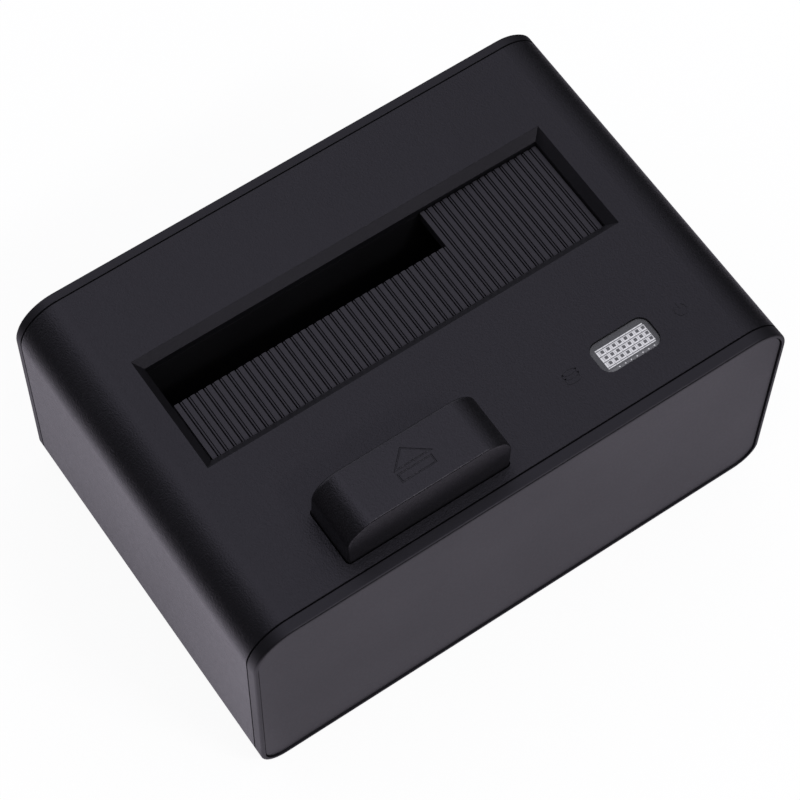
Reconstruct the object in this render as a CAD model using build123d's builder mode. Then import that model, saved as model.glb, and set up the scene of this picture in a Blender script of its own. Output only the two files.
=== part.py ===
from build123d import *

import os
from math import asin, cos, degrees, hypot, radians, sin

# Docking station that holds one bare 3.5 inch or 2.5 inch hard drive upright, in millimetres.
# X runs to the right along the front, Y to the back and Z up.
# The origin is on the table, under the middle of the casing.

os.makedirs("parts", exist_ok=True)

# Casing
case_width = 140.0
case_depth = 96.5
case_height = 65.0
foot_height = 1.5
top_corner_radius = 10.5
bottom_corner_radius = 6.5
shell_wall = 2.2
front_cap_depth = 3.0
rear_cap_depth = 2.4
seam_chamfer = 0.25
cap_edge_radius = 0.5
rear_edge_chamfer = 0.4
cut_overrun = 1.0
running_clearance = 0.05
fit_gap = 0.2

# Front and rear caps
front_rim = 1.0
panel_setback = 0.4
panel_thickness = 2.0
panel_gap = 0.1
panel_ledge = 3.0
rear_rim = 1.4
rear_field_depth = 0.8
tongue_length = 3.0
tongue_thickness = 1.3
tongue_height = 36.0

# Drive bay and its rim in the top
bay_from_left = 17.7
bay_from_right = 18.2
bay_front_share = 0.4497
bay_width = 26.7
rim_chamfer = 2.05
collar_wall = 1.6
collar_depth = 4.2
drive_seat_height = 11.5
guide_floor_thickness = 2.0
guide_side_wall = 2.4
guide_wall = 1.8
guide_ear_radius = 4.0
guide_ear_thickness = 2.5
guide_ear_drop = 6.0
guide_ear_inset = 4.6
guide_ear_reach = 3.4

# Dust flap, an L-shaped ribbed lid that a 3.5 inch drive pushes down
flap_drop = 3.2
flap_base_thickness = 2.0
rib_height = 0.8
rib_width = 1.15
rib_pitch = 2.04
flap_end_gap = 0.25
flap_front_gap = 0.25
flap_back_gap = 0.35
slot_length = 72.1
slot_width = 10.6
flap_axis_back = 3.4
flap_axis_drop = 6.5
flap_pin_radius = 1.0
knuckle_radius = 2.0
knuckle_length = 9.0
middle_knuckle_length = 16.0
pocket_margin = 0.6
pocket_depth_margin = 2.0
lug_start = 4.6
lug_length = 3.4
lug_reach = 1.1
lug_gap = 0.15

# Flap spring, a torsion coil on the flap's pin
flap_spring_wire_radius = 0.25
flap_spring_clearance = 0.3
flap_spring_length = 5.0
flap_spring_offset = 2.0
flap_spring_leg = 7.0

# Eject button
button_from_left = 27.8
button_from_front = 6.1
button_length_share = 0.2957
button_width = 14.7
button_height = 13.3
button_end_radius = 6.8
button_draft = 0.57
button_edge_radius = 0.9
button_gap = 0.25
button_wall = 1.8
button_skirt = 9.0
skirt_step = 0.15
button_flange = 1.2
button_flange_thickness = 1.5
button_guide_wall = 1.4
button_travel = 5.0
button_boss_radius = 5.0
button_boss_wall = 1.4
button_stem_radius = 2.6
spring_seat_drop = 6.0

# Button spring and the bridge that it stands on
bridge_drop = 22.0
bridge_thickness = 2.2
bridge_width = 13.0
bridge_screw_margin = 6.3
bridge_boss_radius = 3.0
spring_wire_radius = 0.4
spring_clearance = 0.5
spring_turns = 4
spring_wire_sides = 6
seat_ring_height = 1.0

# Eject lever
lever_axis_to_bay = 9.65
lever_axis_rise = 10.5
lever_barrel_radius = 3.0
lever_pin_radius = 1.5
lever_arm_width = 13.0
lever_arm_thickness = 2.4
lever_nose_radius = 2.0
tine_width = 2.5
wide_tine_width = 6.0
tine_gap = 0.7
tine_tip_from_back = 3.2
tine_thickness = 2.6
tine_tip_thickness = 1.8
tine_lift_room = 1.6
lever_post_width = 3.5
lever_post_gap = 0.4
lever_post_margin = 2.6
nose_gap = 0.1

# Base plate, feet and screws
base_thickness = 2.2
base_gap = 0.2
foot_radius = 5.0
foot_recess = 0.5
foot_edge_chamfer = 0.5
foot_from_side = 24.0
foot_from_end = 12.25
case_screw_from_side = 11.5
case_screw_from_end = 11.75
case_boss_radius = 3.2
screw_radius = 1.2
screw_head_radius = 2.4
screw_head_height = 1.2
screw_length = 8.0
short_screw_length = 5.0
screw_head_recess = 1.3
hidden_round_sides = 12
vent_width = 2.0
vent_length_share = 0.4
vent_pitch = 5.0
vent_count = 7
vent_group_share = 0.34

# Main board and the parts on it
board_side_margin = 17.0
board_to_lever = 12.45
board_thickness = 1.6
board_rise = 2.5
board_back_margin = 2.9
board_screw_inset = 4.0
board_boss_radius = 2.6
chip_side = 9.0
chip_height = 0.9
chip_x = 20.0
chip_from_board_front = 14.0
capacitor_radius = 3.15
capacitor_height = 8.0
capacitor_pitch = 9.0
capacitor_share = -0.3
capacitor_from_board_back = 10.0
inductor_side = 7.0
inductor_height = 4.0
inductor_share = 0.185

# Drive receptacle: one housing takes the data and the power tongue of the drive
receptacle_from_left = 42.7
receptacle_from_back = 3.8
receptacle_length = 42.7
receptacle_width = 6.3
receptacle_engagement = 5.0
receptacle_post_length = 3.2
receptacle_post_rise = 1.2
receptacle_gap = 0.3
data_slot_length = 10.6
power_slot_length = 20.8
slot_bridge = 1.9
contact_slot_width = 2.4
contact_slot_depth = 5.6
contact_pitch = 1.27
contact_width = 0.8
contact_thickness = 0.25
contact_height = 4.6
data_contacts = 7
power_contacts = 15

# Rear ports
usb_share = -0.14
usb_width = 12.0
usb_body_height = 7.6
usb_height = 10.6
usb_top_width = 8.0
usb_length_share = 0.693
usb_wall = 0.4
usb_tongue_width = 5.6
usb_tongue_height = 3.2
usb_small_tongue_height = 1.3
port_gap = 0.25
dc_share = 0.285
dc_width = 9.0
dc_height = 11.0
dc_length = 14.0
dc_axis_rise = 6.3
dc_bore_radius = 3.2
dc_bore_depth = 9.5
dc_pin_radius = 1.05
dc_pin_setback = 1.0
switch_share = 0.085
switch_width = 14.8
switch_height = 9.4
switch_rise = 1.2
switch_length = 12.5
switch_flange = 1.2
rocker_width = 10.4
rocker_half_height = 3.9
rocker_gap = 0.25
rocker_axis_depth = 3.55
rocker_rise = 2.9
rocker_dip = 0.6
rocker_heel = 1.8
rocker_heel_half_height = 1.2
rocker_tilt = 8.0
rocker_well_margin = 0.6
trunnion_radius = 1.0
trunnion_length = 0.7

# Status light
lens_left_share = 0.7057
lens_from_front = 11.7
lens_length = 15.5
lens_width = 8.15
lens_corner_radius = 2.6
lens_gap = 0.1
lens_setback = 0.6
lens_depth = 5.5
lens_flange = 1.2
lens_flange_thickness = 1.2
light_board_drop = 8.8
light_board_thickness = 1.2
light_board_length = 28.0
light_board_width = 11.0
light_boss_radius = 2.2
light_peg_radius = 1.0
light_peg_spacing = 23.0
light_peg_length = 2.0
led_length = 3.2
led_width = 2.4
led_height = 1.8
led_spacing = 7.0

# Places worked out from the sizes above
case_left = -case_width / 2
case_front = -case_depth / 2
case_back = case_depth / 2
case_bottom = foot_height
case_top = foot_height + case_height
ceiling = case_top - shell_wall
base_top = case_bottom + base_thickness
shell_front = case_front + front_cap_depth
shell_back = case_back - rear_cap_depth
shell_length = shell_back - shell_front
shell_y = (shell_front + shell_back) / 2
base_width = case_width - 2 * bottom_corner_radius - 2 * base_gap

bay_left = case_left + bay_from_left
bay_right = -case_left - bay_from_right
bay_length = bay_right - bay_left
bay_front = case_front + case_depth * bay_front_share
bay_back = bay_front + bay_width
bay_x = (bay_left + bay_right) / 2
bay_y = (bay_front + bay_back) / 2
collar_bottom = case_top - collar_depth
guide_top = collar_bottom - fit_gap
drive_seat = case_bottom + drive_seat_height
guide_bottom = drive_seat - guide_floor_thickness

flap_left = bay_left + flap_end_gap
flap_right = bay_right - flap_end_gap
flap_front = bay_front + flap_front_gap
flap_back = bay_back - flap_back_gap
flap_top = case_top - flap_drop
flap_base_top = flap_top - rib_height
flap_bottom = flap_base_top - flap_base_thickness
flap_axis_y = bay_front - flap_axis_back
flap_axis_z = case_top - flap_axis_drop
slot_right = bay_left + slot_length
slot_front = bay_back - slot_width

button_length = case_width * button_length_share
button_x = case_left + button_from_left + button_length / 2
button_y = case_front + button_from_front + button_width / 2
button_top = case_top + button_height
button_bottom = case_top - button_skirt
button_guide_bottom = button_bottom + button_flange_thickness + fit_gap
bridge_top = case_top - bridge_drop
bridge_bottom = bridge_top - bridge_thickness
spring_top = case_top - spring_seat_drop

lever_axis_y = bay_front - lever_axis_to_bay
lever_axis_z = case_bottom + lever_axis_rise
lever_arm = lever_axis_y - button_y
stem_bottom = lever_axis_z + lever_nose_radius + nose_gap
eject_angle = degrees(asin(button_travel / lever_arm))

board_back = shell_back - board_back_margin
board_front = lever_axis_y + board_to_lever
board_length = case_width - 2 * board_side_margin
board_depth = board_back - board_front
board_y = (board_front + board_back) / 2
board_bottom = base_top + board_rise
board_top = board_bottom + board_thickness

receptacle_x = case_left + receptacle_from_left
receptacle_y = bay_back - receptacle_from_back
receptacle_top = drive_seat + receptacle_engagement
port_face = case_back - rear_field_depth
usb_length = (port_face - bay_back - guide_wall) * usb_length_share
usb_x = case_width * usb_share
switch_x = case_width * switch_share
dc_x = case_width * dc_share

lens_x = case_left + case_width * lens_left_share + lens_length / 2
lens_y = case_front + lens_from_front + lens_width / 2
light_board_top = case_top - light_board_drop
light_board_bottom = light_board_top - light_board_thickness


def corner_places(spacing_x, spacing_y, centre_y=0.0):
    return [
        (side * spacing_x / 2, centre_y + end * spacing_y / 2)
        for side in (-1, 1)
        for end in (-1, 1)
    ]


foot_places = corner_places(case_width - 2 * foot_from_side, case_depth - 2 * foot_from_end)
case_screw_places = corner_places(
    case_width - 2 * case_screw_from_side, case_depth - 2 * case_screw_from_end
)
board_screw_places = corner_places(
    board_length - 2 * board_screw_inset, board_depth - 2 * board_screw_inset, board_y
)
bridge_screw_reach = button_length / 2 + bridge_screw_margin
bridge_screw_places = [
    (button_x - bridge_screw_reach, button_y),
    (button_x + bridge_screw_reach, button_y),
]
light_peg_places = [
    (lens_x - light_peg_spacing / 2, lens_y),
    (lens_x + light_peg_spacing / 2, lens_y),
]
ear_left = bay_left - guide_side_wall - guide_ear_reach
ear_right = bay_right + guide_side_wall + guide_ear_reach
guide_screw_places = [
    (x, y)
    for x in (ear_left, ear_right)
    for y in (bay_front + guide_ear_inset, bay_back - guide_ear_inset)
]


# A plane that lies flat at height z
def level(z):
    return Plane.XY.offset(z)


# An upright plane at depth y that faces the front; its own second axis is up
def facing_front(y):
    return Plane.XZ.offset(-y)


# An upright plane at x that faces right; its own axes run to the back and up
def facing_right(x):
    return Plane.YZ.offset(x)


# The casing's outline seen from the front, drawn in by an inset
def case_profile(inset):
    with BuildSketch() as profile:
        with Locations((0, case_bottom + case_height / 2)):
            Rectangle(case_width - 2 * inset, case_height - 2 * inset)
        fillet(profile.vertices().group_by(Axis.Y)[-1], top_corner_radius - inset)
        fillet(profile.vertices().group_by(Axis.Y)[0], bottom_corner_radius - inset)
    return profile.sketch


# Round posts or holes that stand at the given places between two heights
def posts(places, low, high, radius, mode=Mode.ADD):
    with BuildSketch(level(low)) as rounds:
        with Locations(*places):
            Circle(radius)
    extrude(rounds.sketch, amount=high - low, mode=mode)


# The same for bosses, screws and their bores, which are small and repeat, with flat sides
def facet_posts(places, low, high, radius, mode=Mode.ADD):
    with BuildSketch(level(low)) as rounds:
        with Locations(*places):
            RegularPolygon(radius, hidden_round_sides)
    extrude(rounds.sketch, amount=high - low, mode=mode)


# A block on a rectangle centred at x, y, between two heights
def block(x, y, length, width, low, high, mode=Mode.ADD):
    with BuildSketch(level(low)) as footprint:
        with Locations((x, y)):
            Rectangle(length, width)
    extrude(footprint.sketch, amount=high - low, mode=mode)


# A rod along X
def rod(left, right, y, z, radius, mode=Mode.ADD):
    with BuildSketch(facing_right(left)) as section:
        with Locations((y, z)):
            Circle(radius)
    extrude(section.sketch, amount=right - left, mode=mode)


# Pan head screws that point up from the given head height
def screws(places, head_bottom, length):
    head_top = head_bottom + screw_head_height
    facet_posts(places, head_bottom, head_top, screw_head_radius)
    facet_posts(places, head_top, head_top + length, screw_radius)


# Tongues that locate an end cap inside the sleeve, one at each side
def side_tongues(low_y, high_y):
    reach = case_width / 2 - shell_wall - fit_gap - tongue_thickness / 2
    with BuildSketch(level(case_bottom + (case_height - tongue_height) / 2)) as tongues:
        with Locations((-reach, (low_y + high_y) / 2), (reach, (low_y + high_y) / 2)):
            Rectangle(tongue_thickness, high_y - low_y)
    extrude(tongues.sketch, amount=tongue_height)


# Sleeve of the casing: top, sides and rounded long edges in one moulding
with BuildPart() as top_shell:
    with BuildSketch(facing_front(shell_back)):
        add(case_profile(0))
    extrude(amount=shell_length)
    chamfer(top_shell.faces().filter_by(Axis.Y).edges(), length=seam_chamfer)
    with BuildSketch(facing_front(shell_back + cut_overrun)):
        add(case_profile(shell_wall))
    extrude(amount=shell_length + 2 * cut_overrun, mode=Mode.SUBTRACT)
    block(
        0, shell_y, base_width + 2 * base_gap, shell_length + 2 * cut_overrun,
        case_bottom - cut_overrun, base_top + cut_overrun, Mode.SUBTRACT,
    )
    # Collar under the drive opening, then the opening with its mitred rim
    block(
        bay_x, bay_y, bay_length + 2 * collar_wall, bay_width + 2 * collar_wall,
        collar_bottom, ceiling + shell_wall / 2,
    )
    block(
        bay_x, bay_y, bay_length, bay_width,
        collar_bottom - cut_overrun, case_top + cut_overrun, Mode.SUBTRACT,
    )
    top_face = top_shell.faces().sort_by(Axis.Z)[-1]
    chamfer(top_face.inner_wires()[0].edges(), length=rim_chamfer)
    # Guide sleeve and opening for the eject button
    block(
        button_x, button_y,
        button_length + 2 * (button_gap + button_guide_wall),
        button_width + 2 * (button_gap + button_guide_wall),
        button_guide_bottom, ceiling + shell_wall / 2,
    )
    with BuildSketch(level(button_guide_bottom - cut_overrun)):
        with Locations((button_x, button_y)):
            RectangleRounded(
                button_length + 2 * button_gap,
                button_width + 2 * button_gap,
                button_edge_radius + button_gap,
            )
    extrude(amount=case_top - button_guide_bottom + 2 * cut_overrun, mode=Mode.SUBTRACT)
    # Window of the status light
    with BuildSketch(level(ceiling - cut_overrun)):
        with Locations((lens_x, lens_y)):
            RectangleRounded(
                lens_length + 2 * lens_gap, lens_width + 2 * lens_gap, lens_corner_radius + lens_gap
            )
    extrude(amount=shell_wall + 2 * cut_overrun, mode=Mode.SUBTRACT)
    # Screw bosses that hang from the ceiling
    boss_root = ceiling + shell_wall / 2
    facet_posts(case_screw_places, base_top, boss_root, case_boss_radius)
    facet_posts(bridge_screw_places, bridge_top, boss_root, bridge_boss_radius)
    facet_posts(guide_screw_places, case_top - guide_ear_drop, boss_root, case_boss_radius)
    facet_posts(light_peg_places, light_board_top, boss_root, light_boss_radius)
    facet_posts(
        light_peg_places, light_board_bottom - light_peg_length / 2, light_board_top, light_peg_radius
    )
    pilot = screw_radius + running_clearance
    facet_posts(
        case_screw_places, base_top - cut_overrun, base_top + screw_length, pilot, Mode.SUBTRACT
    )
    facet_posts(
        bridge_screw_places, bridge_top - cut_overrun, bridge_top + short_screw_length,
        pilot, Mode.SUBTRACT,
    )
    facet_posts(
        guide_screw_places, case_top - guide_ear_drop - cut_overrun,
        ceiling, pilot, Mode.SUBTRACT,
    )
top_shell.part.label = "top_shell"
export_step(top_shell.part, "parts/top_shell.step")

# Cap round the front panel
with BuildPart() as front_bezel:
    with BuildSketch(facing_front(shell_front)):
        add(case_profile(0))
    extrude(amount=front_cap_depth)
    chamfer(front_bezel.faces().sort_by(Axis.Y)[-1].edges(), length=seam_chamfer)
    fillet(front_bezel.faces().sort_by(Axis.Y)[0].edges(), radius=cap_edge_radius)
    with BuildSketch(facing_front(case_front + panel_setback + panel_thickness)):
        add(case_profile(front_rim))
    extrude(amount=panel_setback + panel_thickness + cut_overrun, mode=Mode.SUBTRACT)
    with BuildSketch(facing_front(shell_front + cut_overrun)):
        add(case_profile(front_rim + panel_ledge))
    extrude(amount=front_cap_depth + 2 * cut_overrun, mode=Mode.SUBTRACT)
    side_tongues(shell_front, shell_front + tongue_length)
front_bezel.part.label = "front_bezel"
export_step(front_bezel.part, "parts/front_bezel.step")

# Smooth panel set into the front cap
with BuildPart() as front_panel:
    with BuildSketch(facing_front(case_front + panel_setback + panel_thickness)):
        add(case_profile(front_rim + panel_gap))
    extrude(amount=panel_thickness)
    chamfer(front_panel.faces().sort_by(Axis.Y)[0].edges(), length=seam_chamfer)
front_panel.part.label = "front_panel"
export_step(front_panel.part, "parts/front_panel.step")

# Rear cap with the port openings
usb_bottom = board_top
usb_top = board_top + usb_height
dc_axis_z = board_top + dc_axis_rise
switch_bottom = board_top + switch_rise
switch_z = switch_bottom + switch_height / 2


# The outline of the USB port, seen from behind: a square plug with a narrower one on top
def usb_profile(grow):
    with BuildSketch() as profile:
        with Locations((usb_x, usb_bottom + usb_body_height / 2)):
            Rectangle(usb_width + 2 * grow, usb_body_height + 2 * grow)
        with Locations((usb_x, (usb_bottom + usb_top) / 2)):
            Rectangle(usb_top_width + 2 * grow, usb_height + 2 * grow)
    return profile.sketch


with BuildPart() as rear_panel:
    with BuildSketch(facing_front(case_back)):
        add(case_profile(0))
    extrude(amount=rear_cap_depth)
    chamfer(rear_panel.faces().sort_by(Axis.Y)[0].edges(), length=seam_chamfer)
    chamfer(rear_panel.faces().sort_by(Axis.Y)[-1].edges(), length=rear_edge_chamfer)
    with BuildSketch(facing_front(case_back + cut_overrun)):
        add(case_profile(rear_rim))
    extrude(amount=rear_field_depth + cut_overrun, mode=Mode.SUBTRACT)
    with BuildSketch(facing_front(case_back)):
        add(usb_profile(port_gap))
        with Locations((dc_x, dc_axis_z)):
            Circle(dc_width / 2 - port_gap)
        with Locations((switch_x, switch_z)):
            Rectangle(switch_width + 2 * port_gap, switch_height + 2 * port_gap)
    extrude(amount=rear_cap_depth + cut_overrun, mode=Mode.SUBTRACT)
    side_tongues(shell_back - tongue_length, shell_back)
rear_panel.part.label = "rear_panel"
export_step(rear_panel.part, "parts/rear_panel.step")

# Base plate with the screw holes, foot recesses, vents, board bosses and lever posts
narrow_tine_x = bay_left + tine_gap + tine_width / 2
wide_tine_x = receptacle_x + receptacle_length / 2 + tine_gap + wide_tine_width / 2
barrel_left = narrow_tine_x - tine_width / 2
barrel_right = wide_tine_x + wide_tine_width / 2
post_places_x = [
    barrel_left - lever_post_gap - lever_post_width / 2,
    barrel_right + lever_post_gap + lever_post_width / 2,
]
post_radius = lever_pin_radius + lever_post_margin

with BuildPart() as base_plate:
    block(0, shell_y, base_width, shell_length - 2 * base_gap, case_bottom, base_top)
    facet_posts(
        case_screw_places, case_bottom - cut_overrun, base_top + cut_overrun,
        screw_radius + fit_gap, Mode.SUBTRACT,
    )
    facet_posts(
        case_screw_places, case_bottom - cut_overrun, case_bottom + screw_head_recess,
        screw_head_radius + fit_gap, Mode.SUBTRACT,
    )
    posts(
        foot_places, case_bottom - cut_overrun, case_bottom + foot_recess,
        foot_radius + fit_gap, Mode.SUBTRACT,
    )
    with BuildSketch(level(case_bottom - cut_overrun)):
        vent_group_x = case_width * vent_group_share / 2
        with Locations((-vent_group_x, board_y), (vent_group_x, board_y)):
            with GridLocations(vent_pitch, 0, vent_count, 1):
                Rectangle(vent_width, board_depth * vent_length_share)
    extrude(amount=base_thickness + 2 * cut_overrun, mode=Mode.SUBTRACT)
    facet_posts(board_screw_places, base_top, board_bottom, board_boss_radius)
    facet_posts(
        board_screw_places, case_bottom + base_thickness / 2, board_bottom + cut_overrun,
        screw_radius + running_clearance, Mode.SUBTRACT,
    )
    for post_x in post_places_x:
        with BuildSketch(facing_right(post_x - lever_post_width / 2)):
            with Locations((lever_axis_y, (base_top + lever_axis_z) / 2)):
                Rectangle(2 * post_radius, lever_axis_z - base_top)
            with Locations((lever_axis_y, lever_axis_z)):
                Circle(post_radius)
                Circle(lever_pin_radius + running_clearance, mode=Mode.SUBTRACT)
        extrude(amount=lever_post_width)
base_plate.part.label = "base_plate"
export_step(base_plate.part, "parts/base_plate.step")

with BuildPart() as rubber_feet:
    posts(foot_places, 0, case_bottom + foot_recess, foot_radius)
    chamfer(rubber_feet.edges().group_by(Axis.Z)[0], length=foot_edge_chamfer)
rubber_feet.part.label = "rubber_feet"
export_step(rubber_feet.part, "parts/rubber_feet.step")

with BuildPart() as case_screws:
    screws(case_screw_places, case_bottom + screw_head_recess - screw_head_height, screw_length)
case_screws.part.label = "case_screws"
export_step(case_screws.part, "parts/case_screws.step")

# Drive guide: an open box for the drive, with a pocket in front where the open flap lies
pocket_front = flap_axis_y - knuckle_radius - pocket_margin
flap_reach = flap_back - flap_axis_y
pocket_floor = flap_axis_z - flap_reach - pocket_depth_margin
guide_outer_left = bay_left - guide_side_wall
guide_outer_right = bay_right + guide_side_wall
guide_outer_length = guide_outer_right - guide_outer_left
guide_outer_back = bay_back + guide_wall
tine_slot_top = drive_seat + (bay_front - lever_axis_y) * sin(radians(eject_angle)) + tine_lift_room
tine_tip_y = bay_back - tine_tip_from_back
lug_sweep = hypot(lug_start + lug_length, flap_axis_drop - collar_depth) + fit_gap
ear_top = case_top - guide_ear_drop
ear_bottom = ear_top - guide_ear_thickness


# A box given by its sides
def box_between(left, right, front, back, low, high, mode=Mode.ADD):
    block((left + right) / 2, (front + back) / 2, right - left, back - front, low, high, mode)


with BuildPart() as drive_guide:
    box_between(
        guide_outer_left, guide_outer_right, bay_front - guide_wall, guide_outer_back,
        guide_bottom, guide_top,
    )
    box_between(
        guide_outer_left, guide_outer_right, pocket_front - guide_wall, guide_outer_back,
        pocket_floor - guide_wall, guide_top,
    )
    with BuildSketch(level(ear_bottom)):
        for ear_x, ear_y in guide_screw_places:
            with Locations((ear_x, ear_y)):
                Circle(guide_ear_radius)
            inner_x = guide_outer_left if ear_x < bay_x else guide_outer_right
            with Locations(((ear_x + inner_x) / 2, ear_y)):
                Rectangle(abs(ear_x - inner_x), 2 * guide_ear_radius)
    extrude(amount=guide_ear_thickness)
    facet_posts(
        guide_screw_places, ear_bottom - cut_overrun, ear_top + cut_overrun,
        screw_radius + fit_gap, Mode.SUBTRACT,
    )
    # Space for the drive, and the flap's pocket
    box_between(
        bay_left, bay_right, bay_front, bay_back, drive_seat, guide_top + cut_overrun, Mode.SUBTRACT
    )
    box_between(
        bay_left, bay_right, pocket_front, bay_back, pocket_floor, guide_top + cut_overrun,
        Mode.SUBTRACT,
    )
    # Openings in the floor for the receptacle and the lever's tines
    box_between(
        receptacle_x - receptacle_length / 2 - receptacle_gap,
        receptacle_x + receptacle_length / 2 + receptacle_gap,
        receptacle_y - receptacle_width / 2 - receptacle_gap,
        receptacle_y + receptacle_width / 2 + receptacle_gap,
        guide_bottom - cut_overrun, drive_seat + cut_overrun, Mode.SUBTRACT,
    )
    for tine_x, width in ((narrow_tine_x, tine_width), (wide_tine_x, wide_tine_width)):
        half = width / 2 + tine_gap
        box_between(
            tine_x - half, tine_x + half, bay_front - guide_wall - cut_overrun,
            tine_tip_y + tine_gap, guide_bottom - cut_overrun, drive_seat, Mode.SUBTRACT,
        )
        box_between(
            tine_x - half, tine_x + half, bay_front - guide_wall - cut_overrun,
            bay_front, guide_bottom - cut_overrun, tine_slot_top, Mode.SUBTRACT,
        )
    # Bores for the flap's pin and tracks for its stop lugs
    rod(
        guide_outer_left - cut_overrun, guide_outer_right + cut_overrun, flap_axis_y, flap_axis_z,
        flap_pin_radius + running_clearance, Mode.SUBTRACT,
    )
    with BuildSketch(facing_right(guide_outer_left - cut_overrun)) as lug_track:
        track_back = flap_axis_y + lug_sweep
        track_front = flap_axis_y + flap_pin_radius + fit_gap * 2
        track_turn = flap_axis_z - knuckle_radius - pocket_margin
        with BuildLine():
            Polyline(
                (track_front, guide_top + cut_overrun),
                (track_back, guide_top + cut_overrun),
                (track_back, flap_axis_z - lug_sweep),
                (flap_axis_y, flap_axis_z - lug_sweep),
                (flap_axis_y, track_turn),
                (track_front, track_turn),
                close=True,
            )
        make_face()
    extrude(amount=guide_outer_length + 2 * cut_overrun, mode=Mode.SUBTRACT)
drive_guide.part.label = "drive_guide"
export_step(drive_guide.part, "parts/drive_guide.step")

with BuildPart() as guide_screws:
    screws(guide_screw_places, ear_bottom - screw_head_height, short_screw_length)
guide_screws.part.label = "guide_screws"
export_step(guide_screws.part, "parts/guide_screws.step")

# Dust flap: a ribbed plate with a notch for the slimmer drive, on three hinge knuckles
rib_count = int((flap_right - flap_left - rib_width) / rib_pitch) + 1
first_rib_right = flap_right - (rib_count - 1) * rib_pitch
knuckle_spans = [
    (flap_left, flap_left + knuckle_length),
    (bay_x - middle_knuckle_length / 2, bay_x + middle_knuckle_length / 2),
    (flap_right - knuckle_length, flap_right),
]
lug_top = collar_bottom - lug_gap

with BuildPart() as dust_flap:
    box_between(flap_left, flap_right, flap_front, flap_back, flap_bottom, flap_top)
    box_between(
        flap_left - cut_overrun, slot_right, slot_front, flap_back + cut_overrun,
        flap_bottom - cut_overrun, flap_top + cut_overrun, Mode.SUBTRACT,
    )
    # Grooves between the ribs
    with BuildSketch(level(flap_base_top)):
        for rib in range(rib_count):
            groove_right = first_rib_right + rib * rib_pitch - rib_width
            groove_left = max(groove_right - rib_pitch + rib_width, flap_left - cut_overrun)
            with Locations(((groove_left + groove_right) / 2, (flap_front + flap_back) / 2)):
                Rectangle(groove_right - groove_left, flap_back - flap_front + 2 * cut_overrun)
    extrude(amount=rib_height + cut_overrun, mode=Mode.SUBTRACT)
    # Hinge knuckles on short arms that reach under the casing's top
    for knuckle_left, knuckle_right in knuckle_spans:
        rod(knuckle_left, knuckle_right, flap_axis_y, flap_axis_z, knuckle_radius)
        box_between(
            knuckle_left, knuckle_right, flap_axis_y, flap_front + knuckle_radius,
            flap_axis_z - knuckle_radius / 2, collar_bottom - fit_gap,
        )
        rod(
            knuckle_left - cut_overrun, knuckle_right + cut_overrun, flap_axis_y, flap_axis_z,
            flap_pin_radius + running_clearance, Mode.SUBTRACT,
        )
    # Lugs that stop against the collar
    for lug_left, lug_right in (
        (bay_left - lug_reach, flap_left + lug_reach),
        (flap_right - lug_reach, bay_right + lug_reach),
    ):
        box_between(
            lug_left, lug_right, flap_axis_y + lug_start, flap_axis_y + lug_start + lug_length,
            flap_bottom, lug_top,
        )
dust_flap.part.label = "dust_flap"
export_step(dust_flap.part, "parts/dust_flap.step")

with BuildPart() as flap_pin:
    rod(guide_outer_left, guide_outer_right, flap_axis_y, flap_axis_z, flap_pin_radius)
flap_pin.part.label = "flap_pin"
export_step(flap_pin.part, "parts/flap_pin.step")

# Closing spring of the flap: a close-wound coil on the pin, with a leg under the plate
coil_inner = flap_pin_radius + flap_spring_clearance
coil_outer = coil_inner + 2 * flap_spring_wire_radius
spring_left = knuckle_spans[0][1] + flap_spring_offset
spring_right = spring_left + flap_spring_length

with BuildPart() as flap_spring:
    rod(spring_left, spring_right, flap_axis_y, flap_axis_z, coil_outer)
    rod(
        spring_left - cut_overrun, spring_right + cut_overrun, flap_axis_y, flap_axis_z,
        coil_inner, Mode.SUBTRACT,
    )
    leg_z = flap_bottom - flap_spring_wire_radius - running_clearance
    with BuildSketch(facing_front(flap_axis_y + coil_inner + flap_spring_wire_radius)):
        with Locations((spring_right - flap_spring_wire_radius, leg_z)):
            Circle(flap_spring_wire_radius)
    extrude(amount=-flap_spring_leg)
flap_spring.part.label = "flap_spring"
export_step(flap_spring.part, "parts/flap_spring.step")

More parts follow.
